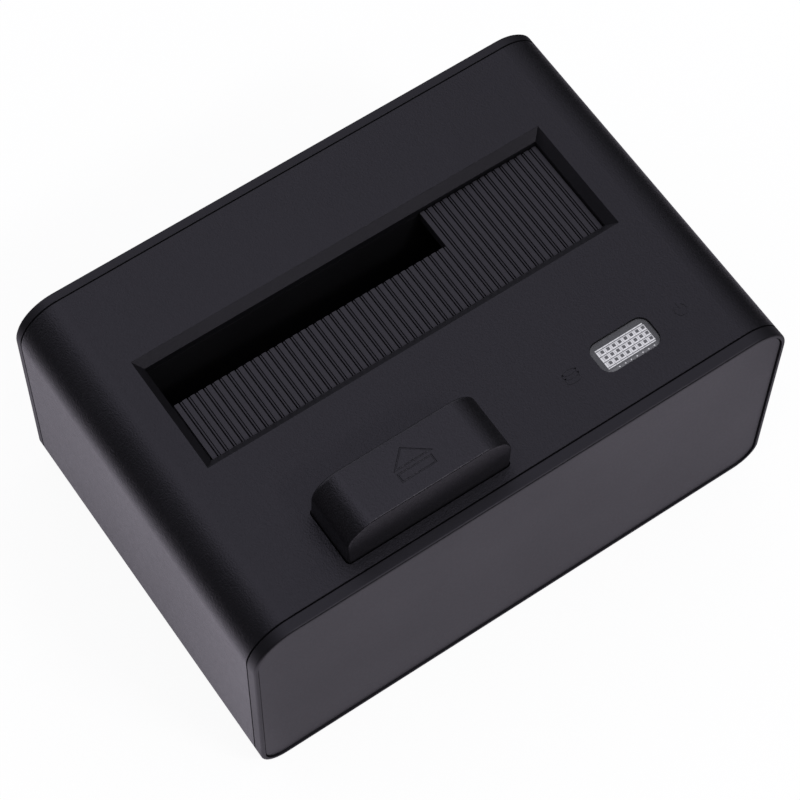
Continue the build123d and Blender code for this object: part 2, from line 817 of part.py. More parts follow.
# Eject button: a loaf-shaped cap on a skirt, with a flange that keeps it in and a stem to the lever
with BuildPart() as eject_button:
    # Cap: front and back lean in a little, and both ends roll over into the top
    with BuildSketch(facing_right(button_x - button_length / 2)):
        with BuildLine():
            Polyline(
                (button_y - button_width / 2, case_top),
                (button_y + button_width / 2, case_top),
                (button_y + button_width / 2 - button_draft, button_top),
                (button_y - button_width / 2 + button_draft, button_top),
                close=True,
            )
        make_face()
    extrude(amount=button_length)
    with BuildSketch(facing_front(button_y + button_width)) as end_profile:
        with Locations((button_x, (case_top + button_top) / 2)):
            Rectangle(button_length, button_height)
        fillet(end_profile.vertices().group_by(Axis.Y)[-1], button_end_radius)
    extrude(amount=2 * button_width, mode=Mode.INTERSECT)
    cap_edges = eject_button.edges().filter_by(Axis.Y, reverse=True)
    fillet(cap_edges.filter_by(lambda edge: edge.center().Z > case_top + cut_overrun),
           radius=button_edge_radius)
    # Skirt that runs in the guide sleeve
    with BuildSketch(level(button_bottom)):
        with Locations((button_x, button_y)):
            RectangleRounded(
                button_length - 2 * skirt_step, button_width - 2 * skirt_step, button_edge_radius
            )
    extrude(amount=button_skirt)
    # Hollow from below
    box_between(
        button_x - button_length / 2 + button_wall, button_x + button_length / 2 - button_wall,
        button_y - button_width / 2 + button_wall, button_y + button_width / 2 - button_wall,
        button_bottom - cut_overrun, button_top - button_end_radius, Mode.SUBTRACT,
    )
    # Flange under the guide sleeve
    with BuildSketch(level(button_bottom)):
        with Locations((button_x, button_y)):
            Rectangle(button_length + 2 * button_flange, button_width + 2 * button_flange)
            Rectangle(
                button_length - 2 * button_wall, button_width - 2 * button_wall, mode=Mode.SUBTRACT
            )
    extrude(amount=button_flange_thickness)
    # Boss with the spring's seat, and the stem
    posts([(button_x, button_y)], spring_top, button_top - button_end_radius, button_boss_radius)
    posts([(button_x, button_y)], stem_bottom, spring_top, button_stem_radius)
eject_button.part.label = "eject_button"
export_step(eject_button.part, "parts/eject_button.step")

# Bridge under the button, hung from two bosses, with a ring that centres the spring
spring_mean_radius = button_stem_radius + spring_clearance + spring_wire_radius
with BuildPart() as button_bridge:
    with BuildSketch(level(bridge_bottom)):
        with Locations((button_x, button_y)):
            SlotCenterToCenter(2 * bridge_screw_reach, bridge_width)
        with Locations((button_x, button_y)):
            Circle(button_stem_radius + spring_clearance, mode=Mode.SUBTRACT)
        with Locations(*bridge_screw_places):
            RegularPolygon(screw_radius + fit_gap, hidden_round_sides, mode=Mode.SUBTRACT)
    extrude(amount=bridge_thickness)
    with BuildSketch(level(bridge_top)):
        with Locations((button_x, button_y)):
            Circle(spring_mean_radius + spring_wire_radius + fit_gap + button_boss_wall)
            Circle(spring_mean_radius + spring_wire_radius + fit_gap, mode=Mode.SUBTRACT)
    extrude(amount=seat_ring_height)
button_bridge.part.label = "button_bridge"
export_step(button_bridge.part, "parts/button_bridge.step")

with BuildPart() as bridge_screws:
    screws(bridge_screw_places, bridge_bottom - screw_head_height, short_screw_length)
bridge_screws.part.label = "bridge_screws"
export_step(bridge_screws.part, "parts/bridge_screws.step")

# Return spring of the button: one wire wound round the stem, between the bridge and the boss
spring_rise = spring_top - bridge_top - 2 * spring_wire_radius - 2 * running_clearance
spring_pitch = spring_rise / spring_turns
with BuildPart() as button_spring:
    with BuildLine() as coil:
        Helix(
            pitch=spring_pitch, height=spring_rise, radius=spring_mean_radius,
            center=(button_x, button_y, bridge_top + spring_wire_radius + running_clearance),
        )
    with BuildSketch(Plane(coil.line @ 0, z_dir=coil.line % 0)):
        RegularPolygon(spring_wire_radius, spring_wire_sides)
    sweep(path=coil.line)
button_spring.part.label = "button_spring"
export_step(button_spring.part, "parts/button_spring.step")

# Eject lever: pressed down in front by the stem, it lifts the drive with two tines behind
with BuildPart() as eject_lever:
    rod(barrel_left, barrel_right, lever_axis_y, lever_axis_z, lever_barrel_radius)
    arm_left = button_x - lever_arm_width / 2
    with BuildSketch(facing_right(arm_left)):
        with Locations((button_y, lever_axis_z)):
            Circle(lever_nose_radius)
        with BuildLine():
            Polyline(
                (button_y, lever_axis_z - lever_nose_radius),
                (lever_axis_y, lever_axis_z - lever_barrel_radius),
                (lever_axis_y, lever_axis_z + lever_arm_thickness / 2),
                (button_y, lever_axis_z + lever_arm_thickness / 2),
                close=True,
            )
        make_face()
    extrude(amount=lever_arm_width)
    for tine_x, width in ((narrow_tine_x, tine_width), (wide_tine_x, wide_tine_width)):
        with BuildSketch(facing_right(tine_x - width / 2)):
            with BuildLine():
                Polyline(
                    (lever_axis_y, drive_seat - fit_gap * 2),
                    (tine_tip_y, drive_seat - fit_gap * 2),
                    (tine_tip_y, drive_seat - fit_gap * 2 - tine_tip_thickness),
                    (lever_axis_y, drive_seat - fit_gap * 2 - tine_thickness),
                    close=True,
                )
            make_face()
        extrude(amount=width)
    rod(
        barrel_left - cut_overrun, barrel_right + cut_overrun, lever_axis_y, lever_axis_z,
        lever_pin_radius + running_clearance, Mode.SUBTRACT,
    )
eject_lever.part.label = "eject_lever"
export_step(eject_lever.part, "parts/eject_lever.step")

with BuildPart() as lever_pin:
    rod(
        post_places_x[0] - lever_post_width / 2, post_places_x[1] + lever_post_width / 2,
        lever_axis_y, lever_axis_z, lever_pin_radius,
    )
lever_pin.part.label = "lever_pin"
export_step(lever_pin.part, "parts/lever_pin.step")

# Main board on its bosses
with BuildPart() as main_board:
    block(0, board_y, board_length, board_depth, board_bottom, board_top)
    facet_posts(
        board_screw_places, board_bottom - cut_overrun, board_top + cut_overrun,
        screw_radius + fit_gap, Mode.SUBTRACT,
    )
main_board.part.label = "main_board"
export_step(main_board.part, "parts/main_board.step")

with BuildPart() as board_screws:
    shank_bottom = case_bottom + base_thickness / 2 + fit_gap
    facet_posts(board_screw_places, board_top, board_top + screw_head_height, screw_head_radius)
    facet_posts(board_screw_places, shank_bottom, board_top, screw_radius)
board_screws.part.label = "board_screws"
export_step(board_screws.part, "parts/board_screws.step")

with BuildPart() as bridge_chip:
    chip_y = board_front + chip_from_board_front
    block(chip_x, chip_y, chip_side, chip_side, board_top, board_top + chip_height)
bridge_chip.part.label = "bridge_chip"
export_step(bridge_chip.part, "parts/bridge_chip.step")

with BuildPart() as board_capacitors:
    capacitor_x = case_width * capacitor_share
    capacitor_y = board_back - capacitor_from_board_back
    posts(
        [(capacitor_x, capacitor_y), (capacitor_x + capacitor_pitch, capacitor_y)],
        board_top, board_top + capacitor_height, capacitor_radius,
    )
board_capacitors.part.label = "board_capacitors"
export_step(board_capacitors.part, "parts/board_capacitors.step")

with BuildPart() as board_inductor:
    block(
        case_width * inductor_share, board_back - capacitor_from_board_back,
        inductor_side, inductor_side,
        board_top, board_top + inductor_height,
    )
    chamfer(board_inductor.edges().filter_by(Axis.Z), length=inductor_side / 6)
board_inductor.part.label = "board_inductor"
export_step(board_inductor.part, "parts/board_inductor.step")

# Drive receptacle with its data and power slots, and the contacts inside
slots_length = data_slot_length + slot_bridge + power_slot_length
data_slot_x = receptacle_x - slots_length / 2 + data_slot_length / 2
power_slot_x = receptacle_x + slots_length / 2 - power_slot_length / 2
with BuildPart() as sata_receptacle:
    block(
        receptacle_x, receptacle_y, receptacle_length, receptacle_width, board_top, receptacle_top
    )
    for end in (-1, 1):
        block(
            receptacle_x + end * (receptacle_length - receptacle_post_length) / 2, receptacle_y,
            receptacle_post_length, receptacle_width / 2,
            receptacle_top, receptacle_top + receptacle_post_rise,
        )
    chamfer(sata_receptacle.edges().group_by(Axis.Z)[-1], length=receptacle_post_rise / 3)
    for slot_x, length in ((data_slot_x, data_slot_length), (power_slot_x, power_slot_length)):
        block(
            slot_x, receptacle_y, length, contact_slot_width,
            receptacle_top - contact_slot_depth, receptacle_top + cut_overrun, Mode.SUBTRACT,
        )
sata_receptacle.part.label = "sata_receptacle"
export_step(sata_receptacle.part, "parts/sata_receptacle.step")

with BuildPart() as sata_contacts:
    contact_low = receptacle_top - contact_slot_depth
    contact_y = receptacle_y + (contact_slot_width - contact_thickness) / 2
    with BuildSketch(level(contact_low)):
        for slot_x, count in ((data_slot_x, data_contacts), (power_slot_x, power_contacts)):
            with Locations((slot_x, contact_y)):
                with GridLocations(contact_pitch, 0, count, 1):
                    Rectangle(contact_width, contact_thickness)
    extrude(amount=contact_height)
sata_contacts.part.label = "sata_contacts"
export_step(sata_contacts.part, "parts/sata_contacts.step")

# USB port: folded metal shell and the plastic tongues inside
usb_back = port_face
usb_front = port_face - usb_length
with BuildPart() as usb_shell:
    with BuildSketch(facing_front(usb_back)):
        add(usb_profile(0))
        add(usb_profile(-usb_wall), mode=Mode.SUBTRACT)
    extrude(amount=usb_length)
usb_shell.part.label = "usb_shell"
export_step(usb_shell.part, "parts/usb_shell.step")

with BuildPart() as usb_tongue:
    with BuildSketch(facing_front(usb_front + usb_wall)):
        add(usb_profile(-usb_wall))
    extrude(amount=usb_wall)
    with BuildSketch(facing_front(usb_back - usb_wall * 2)):
        with Locations((usb_x, usb_bottom + usb_body_height / 2)):
            Rectangle(usb_tongue_width, usb_tongue_height)
        with Locations((usb_x, usb_top - usb_wall - usb_small_tongue_height)):
            Rectangle(usb_tongue_width, usb_small_tongue_height)
    extrude(amount=usb_length - usb_wall * 3)
usb_tongue.part.label = "usb_tongue"
export_step(usb_tongue.part, "parts/usb_tongue.step")

# Power inlet: moulded block with a round mouth and its centre pin
with BuildPart() as dc_jack:
    with BuildSketch(facing_front(shell_back)):
        with Locations((dc_x, board_top + dc_height / 2)):
            Rectangle(dc_width, dc_height)
    extrude(amount=dc_length)
    with BuildSketch(facing_front(port_face)):
        with Locations((dc_x, dc_axis_z)):
            Circle(dc_width / 2 - 2 * port_gap)
    extrude(amount=port_face - shell_back)
    with BuildSketch(facing_front(port_face + cut_overrun)):
        with Locations((dc_x, dc_axis_z)):
            Circle(dc_bore_radius)
    extrude(amount=dc_bore_depth + cut_overrun, mode=Mode.SUBTRACT)
dc_jack.part.label = "dc_jack"
export_step(dc_jack.part, "parts/dc_jack.step")

with BuildPart() as dc_pin:
    with BuildSketch(facing_front(port_face - dc_pin_setback)):
        with Locations((dc_x, dc_axis_z)):
            Circle(dc_pin_radius)
    extrude(amount=dc_bore_depth - dc_pin_setback)
    chamfer(dc_pin.faces().sort_by(Axis.Y)[-1].edges(), length=dc_pin_radius / 2)
dc_pin.part.label = "dc_pin"
export_step(dc_pin.part, "parts/dc_pin.step")

# Power switch: a body with a flange on the rear cap, and the rocker in its well
rocker_axis_y = case_back - rocker_axis_depth
well_half_height = hypot(rocker_rise, rocker_half_height) * cos(radians(rocker_tilt)) - fit_gap * 2
with BuildPart() as switch_body:
    with BuildSketch(facing_front(port_face)):
        with Locations((switch_x, switch_z)):
            Rectangle(switch_width, switch_height)
    extrude(amount=switch_length)
    with BuildSketch(facing_front(case_back)):
        with Locations((switch_x, switch_z)):
            RectangleRounded(
                switch_width + 2 * switch_flange, switch_height + 2 * switch_flange, switch_flange
            )
    extrude(amount=case_back - port_face)
    with BuildSketch(facing_front(case_back + cut_overrun)):
        with Locations((switch_x, switch_z)):
            Rectangle(rocker_width + 2 * rocker_gap, 2 * well_half_height)
    extrude(
        amount=cut_overrun + rocker_axis_depth + rocker_heel + rocker_well_margin,
        mode=Mode.SUBTRACT,
    )
    rod(
        switch_x - rocker_width / 2 - rocker_gap - trunnion_length,
        switch_x + rocker_width / 2 + rocker_gap + trunnion_length,
        rocker_axis_y, switch_z, trunnion_radius + running_clearance, Mode.SUBTRACT,
    )
switch_body.part.label = "switch_body"
export_step(switch_body.part, "parts/switch_body.step")

# The rocker rests tilted, with its lower end pressed in
with BuildPart() as switch_rocker:
    rocker_plane = Plane(
        origin=(switch_x - rocker_width / 2, rocker_axis_y, switch_z),
        x_dir=Vector(0, cos(radians(rocker_tilt)), -sin(radians(rocker_tilt))),
        z_dir=(1, 0, 0),
    )
    with BuildSketch(rocker_plane):
        with BuildLine():
            Polyline(
                (rocker_rise - rocker_dip, 0),
                (rocker_rise, rocker_half_height),
                (0, rocker_half_height),
                (-rocker_heel, rocker_heel_half_height),
                (-rocker_heel, -rocker_heel_half_height),
                (0, -rocker_half_height),
                (rocker_rise, -rocker_half_height),
                close=True,
            )
        make_face()
    extrude(amount=rocker_width)
    rod(
        switch_x - rocker_width / 2 - trunnion_length, switch_x + rocker_width / 2 + trunnion_length,
        rocker_axis_y, switch_z, trunnion_radius,
    )
switch_rocker.part.label = "switch_rocker"
export_step(switch_rocker.part, "parts/switch_rocker.step")

# Status light: clear lens, its board on two pegs, and the two lamps
with BuildPart() as led_lens:
    with BuildSketch(level(case_top - lens_depth)):
        with Locations((lens_x, lens_y)):
            RectangleRounded(lens_length, lens_width, lens_corner_radius)
    extrude(amount=lens_depth - lens_setback)
    with BuildSketch(level(ceiling - lens_flange_thickness)):
        with Locations((lens_x, lens_y)):
            RectangleRounded(
                lens_length + 2 * lens_flange, lens_width + 2 * lens_flange, lens_corner_radius
            )
    extrude(amount=lens_flange_thickness)
led_lens.part.label = "led_lens"
export_step(led_lens.part, "parts/led_lens.step")

with BuildPart() as light_board:
    block(
        lens_x, lens_y, light_board_length, light_board_width, light_board_bottom, light_board_top
    )
    facet_posts(
        light_peg_places, light_board_bottom - cut_overrun, light_board_top + cut_overrun,
        light_peg_radius + running_clearance, Mode.SUBTRACT,
    )
light_board.part.label = "light_board"
export_step(light_board.part, "parts/light_board.step")

with BuildPart() as status_leds:
    for side in (-1, 1):
        block(
            lens_x + side * led_spacing / 2, lens_y, led_length, led_width,
            light_board_top, light_board_top + led_height,
        )
status_leds.part.label = "status_leds"
export_step(status_leds.part, "parts/status_leds.step")

print("eject angle", round(eject_angle, 3), "ribs", rib_count)
print("lever ratio", round(radians(eject_angle) / button_travel * 1000, 4), "radians per metre")
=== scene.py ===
import bpy
import bmesh
import math
from mathutils import Matrix, Vector


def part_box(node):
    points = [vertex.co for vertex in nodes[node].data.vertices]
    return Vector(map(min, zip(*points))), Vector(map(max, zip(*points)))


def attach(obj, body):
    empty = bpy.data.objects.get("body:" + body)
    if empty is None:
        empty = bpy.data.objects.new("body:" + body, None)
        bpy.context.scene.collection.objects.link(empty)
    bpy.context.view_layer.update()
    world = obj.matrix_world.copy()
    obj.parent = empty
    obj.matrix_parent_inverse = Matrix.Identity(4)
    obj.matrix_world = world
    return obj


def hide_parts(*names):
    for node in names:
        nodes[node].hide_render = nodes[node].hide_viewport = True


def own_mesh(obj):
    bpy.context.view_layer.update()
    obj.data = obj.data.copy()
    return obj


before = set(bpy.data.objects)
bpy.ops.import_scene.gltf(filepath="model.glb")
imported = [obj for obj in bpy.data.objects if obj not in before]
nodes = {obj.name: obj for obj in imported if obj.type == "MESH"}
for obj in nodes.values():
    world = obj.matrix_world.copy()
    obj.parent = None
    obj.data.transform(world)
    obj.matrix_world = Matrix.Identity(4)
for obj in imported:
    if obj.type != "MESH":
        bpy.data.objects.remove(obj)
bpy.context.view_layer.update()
print("frame loaded")

mm = 0.001


# adds, sets and joins the nodes of one tree; a key such as no3 means the socket of that number
class Graph:
    def __init__(self, tree):
        self.tree = tree

    def put(self, node, key, value):
        byNumber = key.startswith("no") and key[2:].isdigit()
        socket = node.inputs[int(key[2:]) if byNumber else key]
        if isinstance(value, bpy.types.NodeSocket):
            self.tree.links.new(value, socket)
        else:
            socket.default_value = value

    def add(self, kind, settings=None, **inputs):
        node = self.tree.nodes.new(kind)
        for key, value in (settings or {}).items():
            setattr(node, key, value)
        for key, value in inputs.items():
            self.put(node, key.replace("_", " "), value)
        return node

    # the first output of a new node
    def out(self, kind, settings=None, **inputs):
        return self.add(kind, settings, **inputs).outputs[0]

    def math(self, operation, *values):
        node = self.tree.nodes.new("ShaderNodeMath")
        node.operation = operation
        for place, value in enumerate(values):
            self.put(node, "no%d" % place, value)
        return node.outputs[0]

    def noise(self, where, size, detail=3.0, roughness=0.55):
        node = self.add("ShaderNodeTexNoise", Vector=where, Scale=1.0 / size, Detail=detail,
                        Roughness=roughness)
        return node.outputs["Fac"]

    def span(self, value, low, high, toLow=0.0, toHigh=1.0):
        node = self.add("ShaderNodeMapRange", Value=value)
        ends = (("From Min", low), ("From Max", high), ("To Min", toLow), ("To Max", toHigh))
        for key, amount in ends:
            node.inputs[key].default_value = amount
        return node.outputs[0]

    # most of a noise lies between 0.3 and 0.7
    def spread(self, noise, toLow=0.0, toHigh=1.0):
        return self.span(noise, 0.3, 0.7, toLow, toHigh)

    def blend(self, factor, first, second, mode="MIX"):
        node = self.tree.nodes.new("ShaderNodeMix")
        node.data_type = "RGBA"
        node.blend_type = mode
        for key, value in (("no0", factor), ("no6", first), ("no7", second)):
            self.put(node, key, value)
        return node.outputs[2]

    def axes(self, where):
        return self.add("ShaderNodeSeparateXYZ", Vector=where).outputs


def newMaterial(name):
    material = bpy.data.materials.new(name)
    material.use_nodes = True
    material.node_tree.nodes.clear()
    graph = Graph(material.node_tree)
    shader = graph.add("ShaderNodeBsdfPrincipled")
    output = graph.add("ShaderNodeOutputMaterial", Surface=shader.outputs[0])
    where = graph.add("ShaderNodeTexCoord").outputs["Object"]
    return material, graph, shader, where, output


def colour(values):
    return (values[0], values[1], values[2], 1.0)


def addBump(graph, shader, height, strength, distance):
    bump = graph.out("ShaderNodeBump", Height=height, Strength=strength, Distance=distance)
    graph.put(shader, "Normal", bump)


# what all mouldings share, unless a finish says otherwise, with the colour, fade and roughness
# of the painted shade in groove bottoms
mouldSet = {"swell": 0.4, "swellSize": 3.1, "uneven": 0.03, "glossSwing": 0.02, "relief": 0.35,
            "tint": (0.92, 0.87, 1.0), "paintedShadeColour": (0.0015, 0.0015, 0.0018), "paintedShadeFade": 0.3,
            "paintedShadeRough": 0.95, "rimCalm": 0.8}


# moulded plastic: a spark-eroded grain, a slow change of shade and a little uneven gloss; where
# a finish asks, painted shade in the groove bottoms and a painted glow
def mouldedPlastic(name, finish):
    look = {**mouldSet, **finish}
    material, graph, shader, where, _ = newMaterial(name)
    grain = graph.noise(where, look["grain"] * mm, 2.0, 0.7)
    coarse = graph.noise(where, look["grain"] * look["swellSize"] * mm, 2.0)
    cloud = graph.noise(where, look["cloud"] * mm, 4.0)
    shade = graph.blend(graph.spread(cloud), colour(look["dark"]), colour(look["light"]))
    speck = graph.span(grain, 0.35, 0.65, 1.0 - look["speck"], 1.0 + look["speck"])
    grey = graph.out("ShaderNodeCombineColor", Red=speck, Green=speck, Blue=speck)
    shade = graph.blend(1.0, shade, grey, "MULTIPLY")
    rough, swing = look["rough"], look["glossSwing"]
    gloss = graph.math("ADD", graph.span(cloud, 0.25, 0.75, -look["uneven"], look["uneven"]),
                       graph.spread(coarse, rough - swing, rough + swing))
    if "paintedShadeBelow" in look:  # painted shade: the groove bottoms are darkened and made rough, so that they look shadowed
        level = look["paintedShadeBelow"]
        deep = graph.span(graph.axes(where)[2], (level - look["paintedShadeFade"]) * mm, level * mm,
                          1.0, 0.0)
        shade = graph.blend(deep, shade, colour(look["paintedShadeColour"]))
        gloss = graph.math("MAXIMUM", gloss, graph.math("MULTIPLY", deep, look["paintedShadeRough"]))
    graph.put(shader, "Base Color", shade)
    graph.put(shader, "Roughness", gloss)
    shader.inputs["Specular IOR Level"].default_value = look["shine"]
    shader.inputs["Specular Tint"].default_value = colour(look["tint"])
    # painted glow: the finish shines with its own colour, though it is no lamp
    if "glow" in look:
        graph.put(shader, "Emission Color", shade)
        shader.inputs["Emission Strength"].default_value = look["glow"]
    relief = graph.math("ADD", graph.math("MULTIPLY", grain, 1.0 - look["swell"]),
                        graph.math("MULTIPLY", coarse, look["swell"]))
    if "plainRim" in look:  # the slopes round the bay have next to no grain
        place = graph.axes(where)
        under, halfWidth = look["plainRim"]
        off = graph.math("ABSOLUTE", place[0])
        inner = graph.math("MULTIPLY", graph.math("LESS_THAN", place[2], under * mm),
                           graph.math("LESS_THAN", off, halfWidth * mm))
        calm = graph.math("MULTIPLY", inner, look["rimCalm"])
        relief = graph.math("MULTIPLY", relief, graph.math("SUBTRACT", 1.0, calm))
    addBump(graph, shader, relief, look["depth"], look["grain"] * look["relief"] * mm)
    return material


# drawn or rolled metal: fine streaks along one direction
def drawnMetal(name, look):
    material, graph, shader, where, _ = newMaterial(name)
    stretch = graph.add("ShaderNodeMapping", Vector=where)
    stretch.inputs["Scale"].default_value = look["streaks"]
    streak = graph.noise(stretch.outputs[0], 0.4 * mm)
    cloud = graph.noise(where, 3.0 * mm)
    shade = graph.blend(graph.spread(cloud), colour(look["dark"]), colour(look["light"]))
    graph.put(shader, "Base Color", shade)
    gloss = graph.spread(streak, look["rough"] - 0.06, look["rough"] + 0.06)
    graph.put(shader, "Roughness", gloss)
    shader.inputs["Metallic"].default_value = 1.0
    addBump(graph, shader, streak, 0.15, 0.02 * mm)
    return material


boardSet = {"dark": (0.010, 0.070, 0.030), "light": (0.022, 0.125, 0.055), "tracks": 2600.0,
            "field": 9.0, "trackRise": 0.03}


# solder resist with buried tracks, which run across or along by field
def circuitBoard(name, look):
    material, graph, shader, where, _ = newMaterial(name)
    place = graph.axes(where)
    across, along = [
        graph.math("ABSOLUTE", graph.math("SINE", graph.math("MULTIPLY", axis, look["tracks"])))
        for axis in (place[0], place[1])]
    turn = graph.math("GREATER_THAN", graph.noise(where, look["field"] * mm, 1.0), 0.5)
    rest = graph.math("SUBTRACT", 1.0, turn)
    lines = graph.math("ADD", graph.math("MULTIPLY", across, turn),
                       graph.math("MULTIPLY", along, rest))
    track = graph.span(lines, 0.55, 0.75)
    shade = graph.blend(track, colour(look["dark"]), colour(look["light"]))
    graph.put(shader, "Base Color", shade)
    graph.put(shader, "Roughness", graph.spread(graph.noise(where, 1.2 * mm), 0.28, 0.4))
    addBump(graph, shader, track, 0.5, look["trackRise"] * mm)
    return material


windowSet = {"dark": (0.12, 0.12, 0.13), "light": (0.46, 0.46, 0.48), "rough": 0.2, "clear": 0.4,
             "frontEdge": -36.4, "frontFade": 1.2}


# clear moulded plastic of the light window, milky towards its front edge
def clearPlastic(name, look):
    material, graph, shader, where, _ = newMaterial(name)
    cloud = graph.noise(where, 1.5 * mm)
    toFront = graph.span(graph.axes(where)[1], look["frontEdge"] * mm,
                         (look["frontEdge"] + look["frontFade"]) * mm, 1.0, 0.0)
    patch = graph.math("MAXIMUM", toFront, graph.spread(cloud, 0.0, 0.15))
    shade = graph.blend(patch, colour(look["dark"]), colour(look["light"]))
    graph.put(shader, "Base Color", shade)
    gloss = graph.spread(cloud, look["rough"] - 0.03, look["rough"] + 0.03)
    graph.put(shader, "Roughness", gloss)
    shader.inputs["Transmission Weight"].default_value = look["clear"]
    shader.inputs["IOR"].default_value = 1.49
    return material


# grain, cloud and the height under which groove bottoms get painted shade, in mm; plainRim is a
# height and a half width, in mm
finishes = {
    "sleeve": {"dark": (0.0075, 0.0073, 0.0085), "light": (0.0095, 0.0093, 0.0108),
               "grain": 0.42, "cloud": 30.0, "speck": 0.2, "rough": 0.38, "uneven": 0.02,
               "shine": 0.42, "depth": 0.8, "swell": 0.2, "plainRim": (66.46, 57.0)},
    "cap": {"dark": (0.0065, 0.0063, 0.0072), "light": (0.0085, 0.0083, 0.0095), "grain": 0.2,
            "cloud": 24.0, "speck": 0.06, "rough": 0.5, "shine": 0.42, "depth": 0.3},
    "panel": {"dark": (0.0085, 0.0080, 0.0092), "light": (0.0105, 0.0100, 0.0114),
              "grain": 0.22, "cloud": 38.0, "speck": 0.05, "rough": 0.42, "shine": 0.4,
              "depth": 0.14},
    # the flap's groove bottoms get painted shade below the given height
    "flap": {"dark": (0.0130, 0.0126, 0.0144), "light": (0.0160, 0.0155, 0.0176),
             "grain": 0.3, "cloud": 20.0, "speck": 0.12, "rough": 0.5, "shine": 0.55,
             "depth": 0.5, "paintedShadeBelow": 62.98},
    "button": {"dark": (0.0070, 0.0068, 0.0078), "light": (0.0090, 0.0088, 0.0100),
               "grain": 0.4, "cloud": 18.0, "speck": 0.2, "rough": 0.35, "uneven": 0.02,
               "shine": 0.48, "depth": 0.9, "swell": 0.25},
    # near black, rough and dull: the painted shade of the seam strips
    "seam": {"dark": (0.0010, 0.0010, 0.0012), "light": (0.0015, 0.0015, 0.0017), "grain": 0.2,
             "cloud": 9.0, "speck": 0.1, "rough": 0.9, "shine": 0.08, "depth": 0.2},
    "guide": {"dark": (0.0050, 0.0050, 0.0055), "light": (0.0070, 0.0070, 0.0076),
              "grain": 0.3, "cloud": 22.0, "speck": 0.1, "rough": 0.55, "uneven": 0.04,
              "shine": 0.4, "depth": 0.4},
    "rubber": {"dark": (0.0150, 0.0150, 0.0150), "light": (0.0200, 0.0200, 0.0200),
               "grain": 0.35, "cloud": 6.0, "speck": 0.12, "rough": 0.85, "uneven": 0.04,
               "shine": 0.3, "depth": 0.6},
    "connector": {"dark": (0.0130, 0.0130, 0.0130), "light": (0.0180, 0.0180, 0.0180),
                  "grain": 0.18, "cloud": 8.0, "speck": 0.08, "rough": 0.42, "shine": 0.5,
                  "depth": 0.2},
    "blueMoulding": {"dark": (0.010, 0.060, 0.330), "light": (0.016, 0.085, 0.420),
                     "grain": 0.18, "cloud": 5.0, "speck": 0.05, "rough": 0.38, "shine": 0.5,
                     "depth": 0.15},
    "chip": {"dark": (0.0110, 0.0110, 0.0115), "light": (0.0150, 0.0150, 0.0155),
             "grain": 0.12, "cloud": 4.0, "speck": 0.12, "rough": 0.5, "shine": 0.45,
             "depth": 0.4},
    "ferrite": {"dark": (0.060, 0.060, 0.064), "light": (0.085, 0.085, 0.090), "grain": 0.15,
                "cloud": 3.0, "speck": 0.15, "rough": 0.6, "uneven": 0.04, "shine": 0.4,
                "depth": 0.5},
    "lamp": {"dark": (0.62, 0.60, 0.50), "light": (0.76, 0.74, 0.66), "grain": 0.12,
             "cloud": 1.5, "speck": 0.04, "rough": 0.4, "shine": 0.5, "depth": 0.1},
    "print": {"dark": (0.60, 0.60, 0.60), "light": (0.70, 0.70, 0.70), "grain": 0.15,
              "cloud": 2.0, "speck": 0.05, "rough": 0.5, "shine": 0.4, "depth": 0.15},
    # the white prisms carry a painted glow
    "prism": {"dark": (0.84, 0.84, 0.86), "light": (0.92, 0.92, 0.94), "grain": 0.12,
              "cloud": 2.0, "speck": 0.05, "rough": 0.3, "shine": 0.5, "depth": 0.15,
              "glow": 0.12},
}
metalFinishes = {
    "zincSteel": {"dark": (0.42, 0.42, 0.40), "light": (0.56, 0.56, 0.54), "rough": 0.36,
                  "streaks": (1.0, 1.0, 0.15)},
    "springWire": {"dark": (0.34, 0.34, 0.34), "light": (0.46, 0.46, 0.46), "rough": 0.3,
                   "streaks": (1.0, 1.0, 0.3)},
    "tinnedSheet": {"dark": (0.52, 0.52, 0.51), "light": (0.64, 0.64, 0.63), "rough": 0.28,
                    "streaks": (0.2, 1.0, 1.0)},
    "goldPlate": {"dark": (0.72, 0.52, 0.20), "light": (0.84, 0.62, 0.27), "rough": 0.26,
                  "streaks": (1.0, 1.0, 0.3)},
    "canAluminium": {"dark": (0.60, 0.60, 0.60), "light": (0.74, 0.74, 0.74), "rough": 0.3,
                     "streaks": (1.0, 1.0, 0.2)},
}
looks = {name: mouldedPlastic(name, look) for name, look in finishes.items()}
looks.update({name: drawnMetal(name, look) for name, look in metalFinishes.items()})
looks["boardGreen"] = circuitBoard("boardGreen", boardSet)
looks["windowPlastic"] = clearPlastic("windowPlastic", windowSet)

nodeFinish = {
    "sleeve": ["top_shell"],
    "cap": ["front_bezel", "rear_panel", "base_plate"],
    "panel": ["front_panel"],
    "rubber": ["rubber_feet"],
    "flap": ["dust_flap"],
    "button": ["eject_button", "switch_rocker"],
    "guide": ["drive_guide", "button_bridge", "eject_lever"],
    "connector": ["sata_receptacle", "dc_jack", "switch_body"],
    "blueMoulding": ["usb_tongue"],
    "chip": ["bridge_chip"],
    "ferrite": ["board_inductor"],
    "lamp": ["status_leds"],
    "zincSteel": ["case_screws", "guide_screws", "bridge_screws", "board_screws", "flap_pin",
                  "lever_pin"],
    "springWire": ["flap_spring", "button_spring"],
    "tinnedSheet": ["usb_shell"],
    "goldPlate": ["sata_contacts", "dc_pin"],
    "canAluminium": ["board_capacitors"],
    "boardGreen": ["main_board", "light_board"],
    "windowPlastic": ["led_lens"],
}
for finish, nodeNames in nodeFinish.items():
    for nodeName in nodeNames:
        slots = nodes[nodeName].data.materials
        if len(slots) == 0:
            slots.append(looks[finish])
        for index in range(len(slots)):
            slots[index] = looks[finish]
print("finishes on", sum(len(nodeNames) for nodeNames in nodeFinish.values()), "parts")


# ---- camera, floor and light
# angles in degrees, place in mm
cameraSet = {"turn": 35.48, "lookDown": 62.32, "lean": 1.16, "place": (-173.1, -243.0, 597.2),
             "lens": 125.83, "sensor": 36, "clipStart": 0.01}


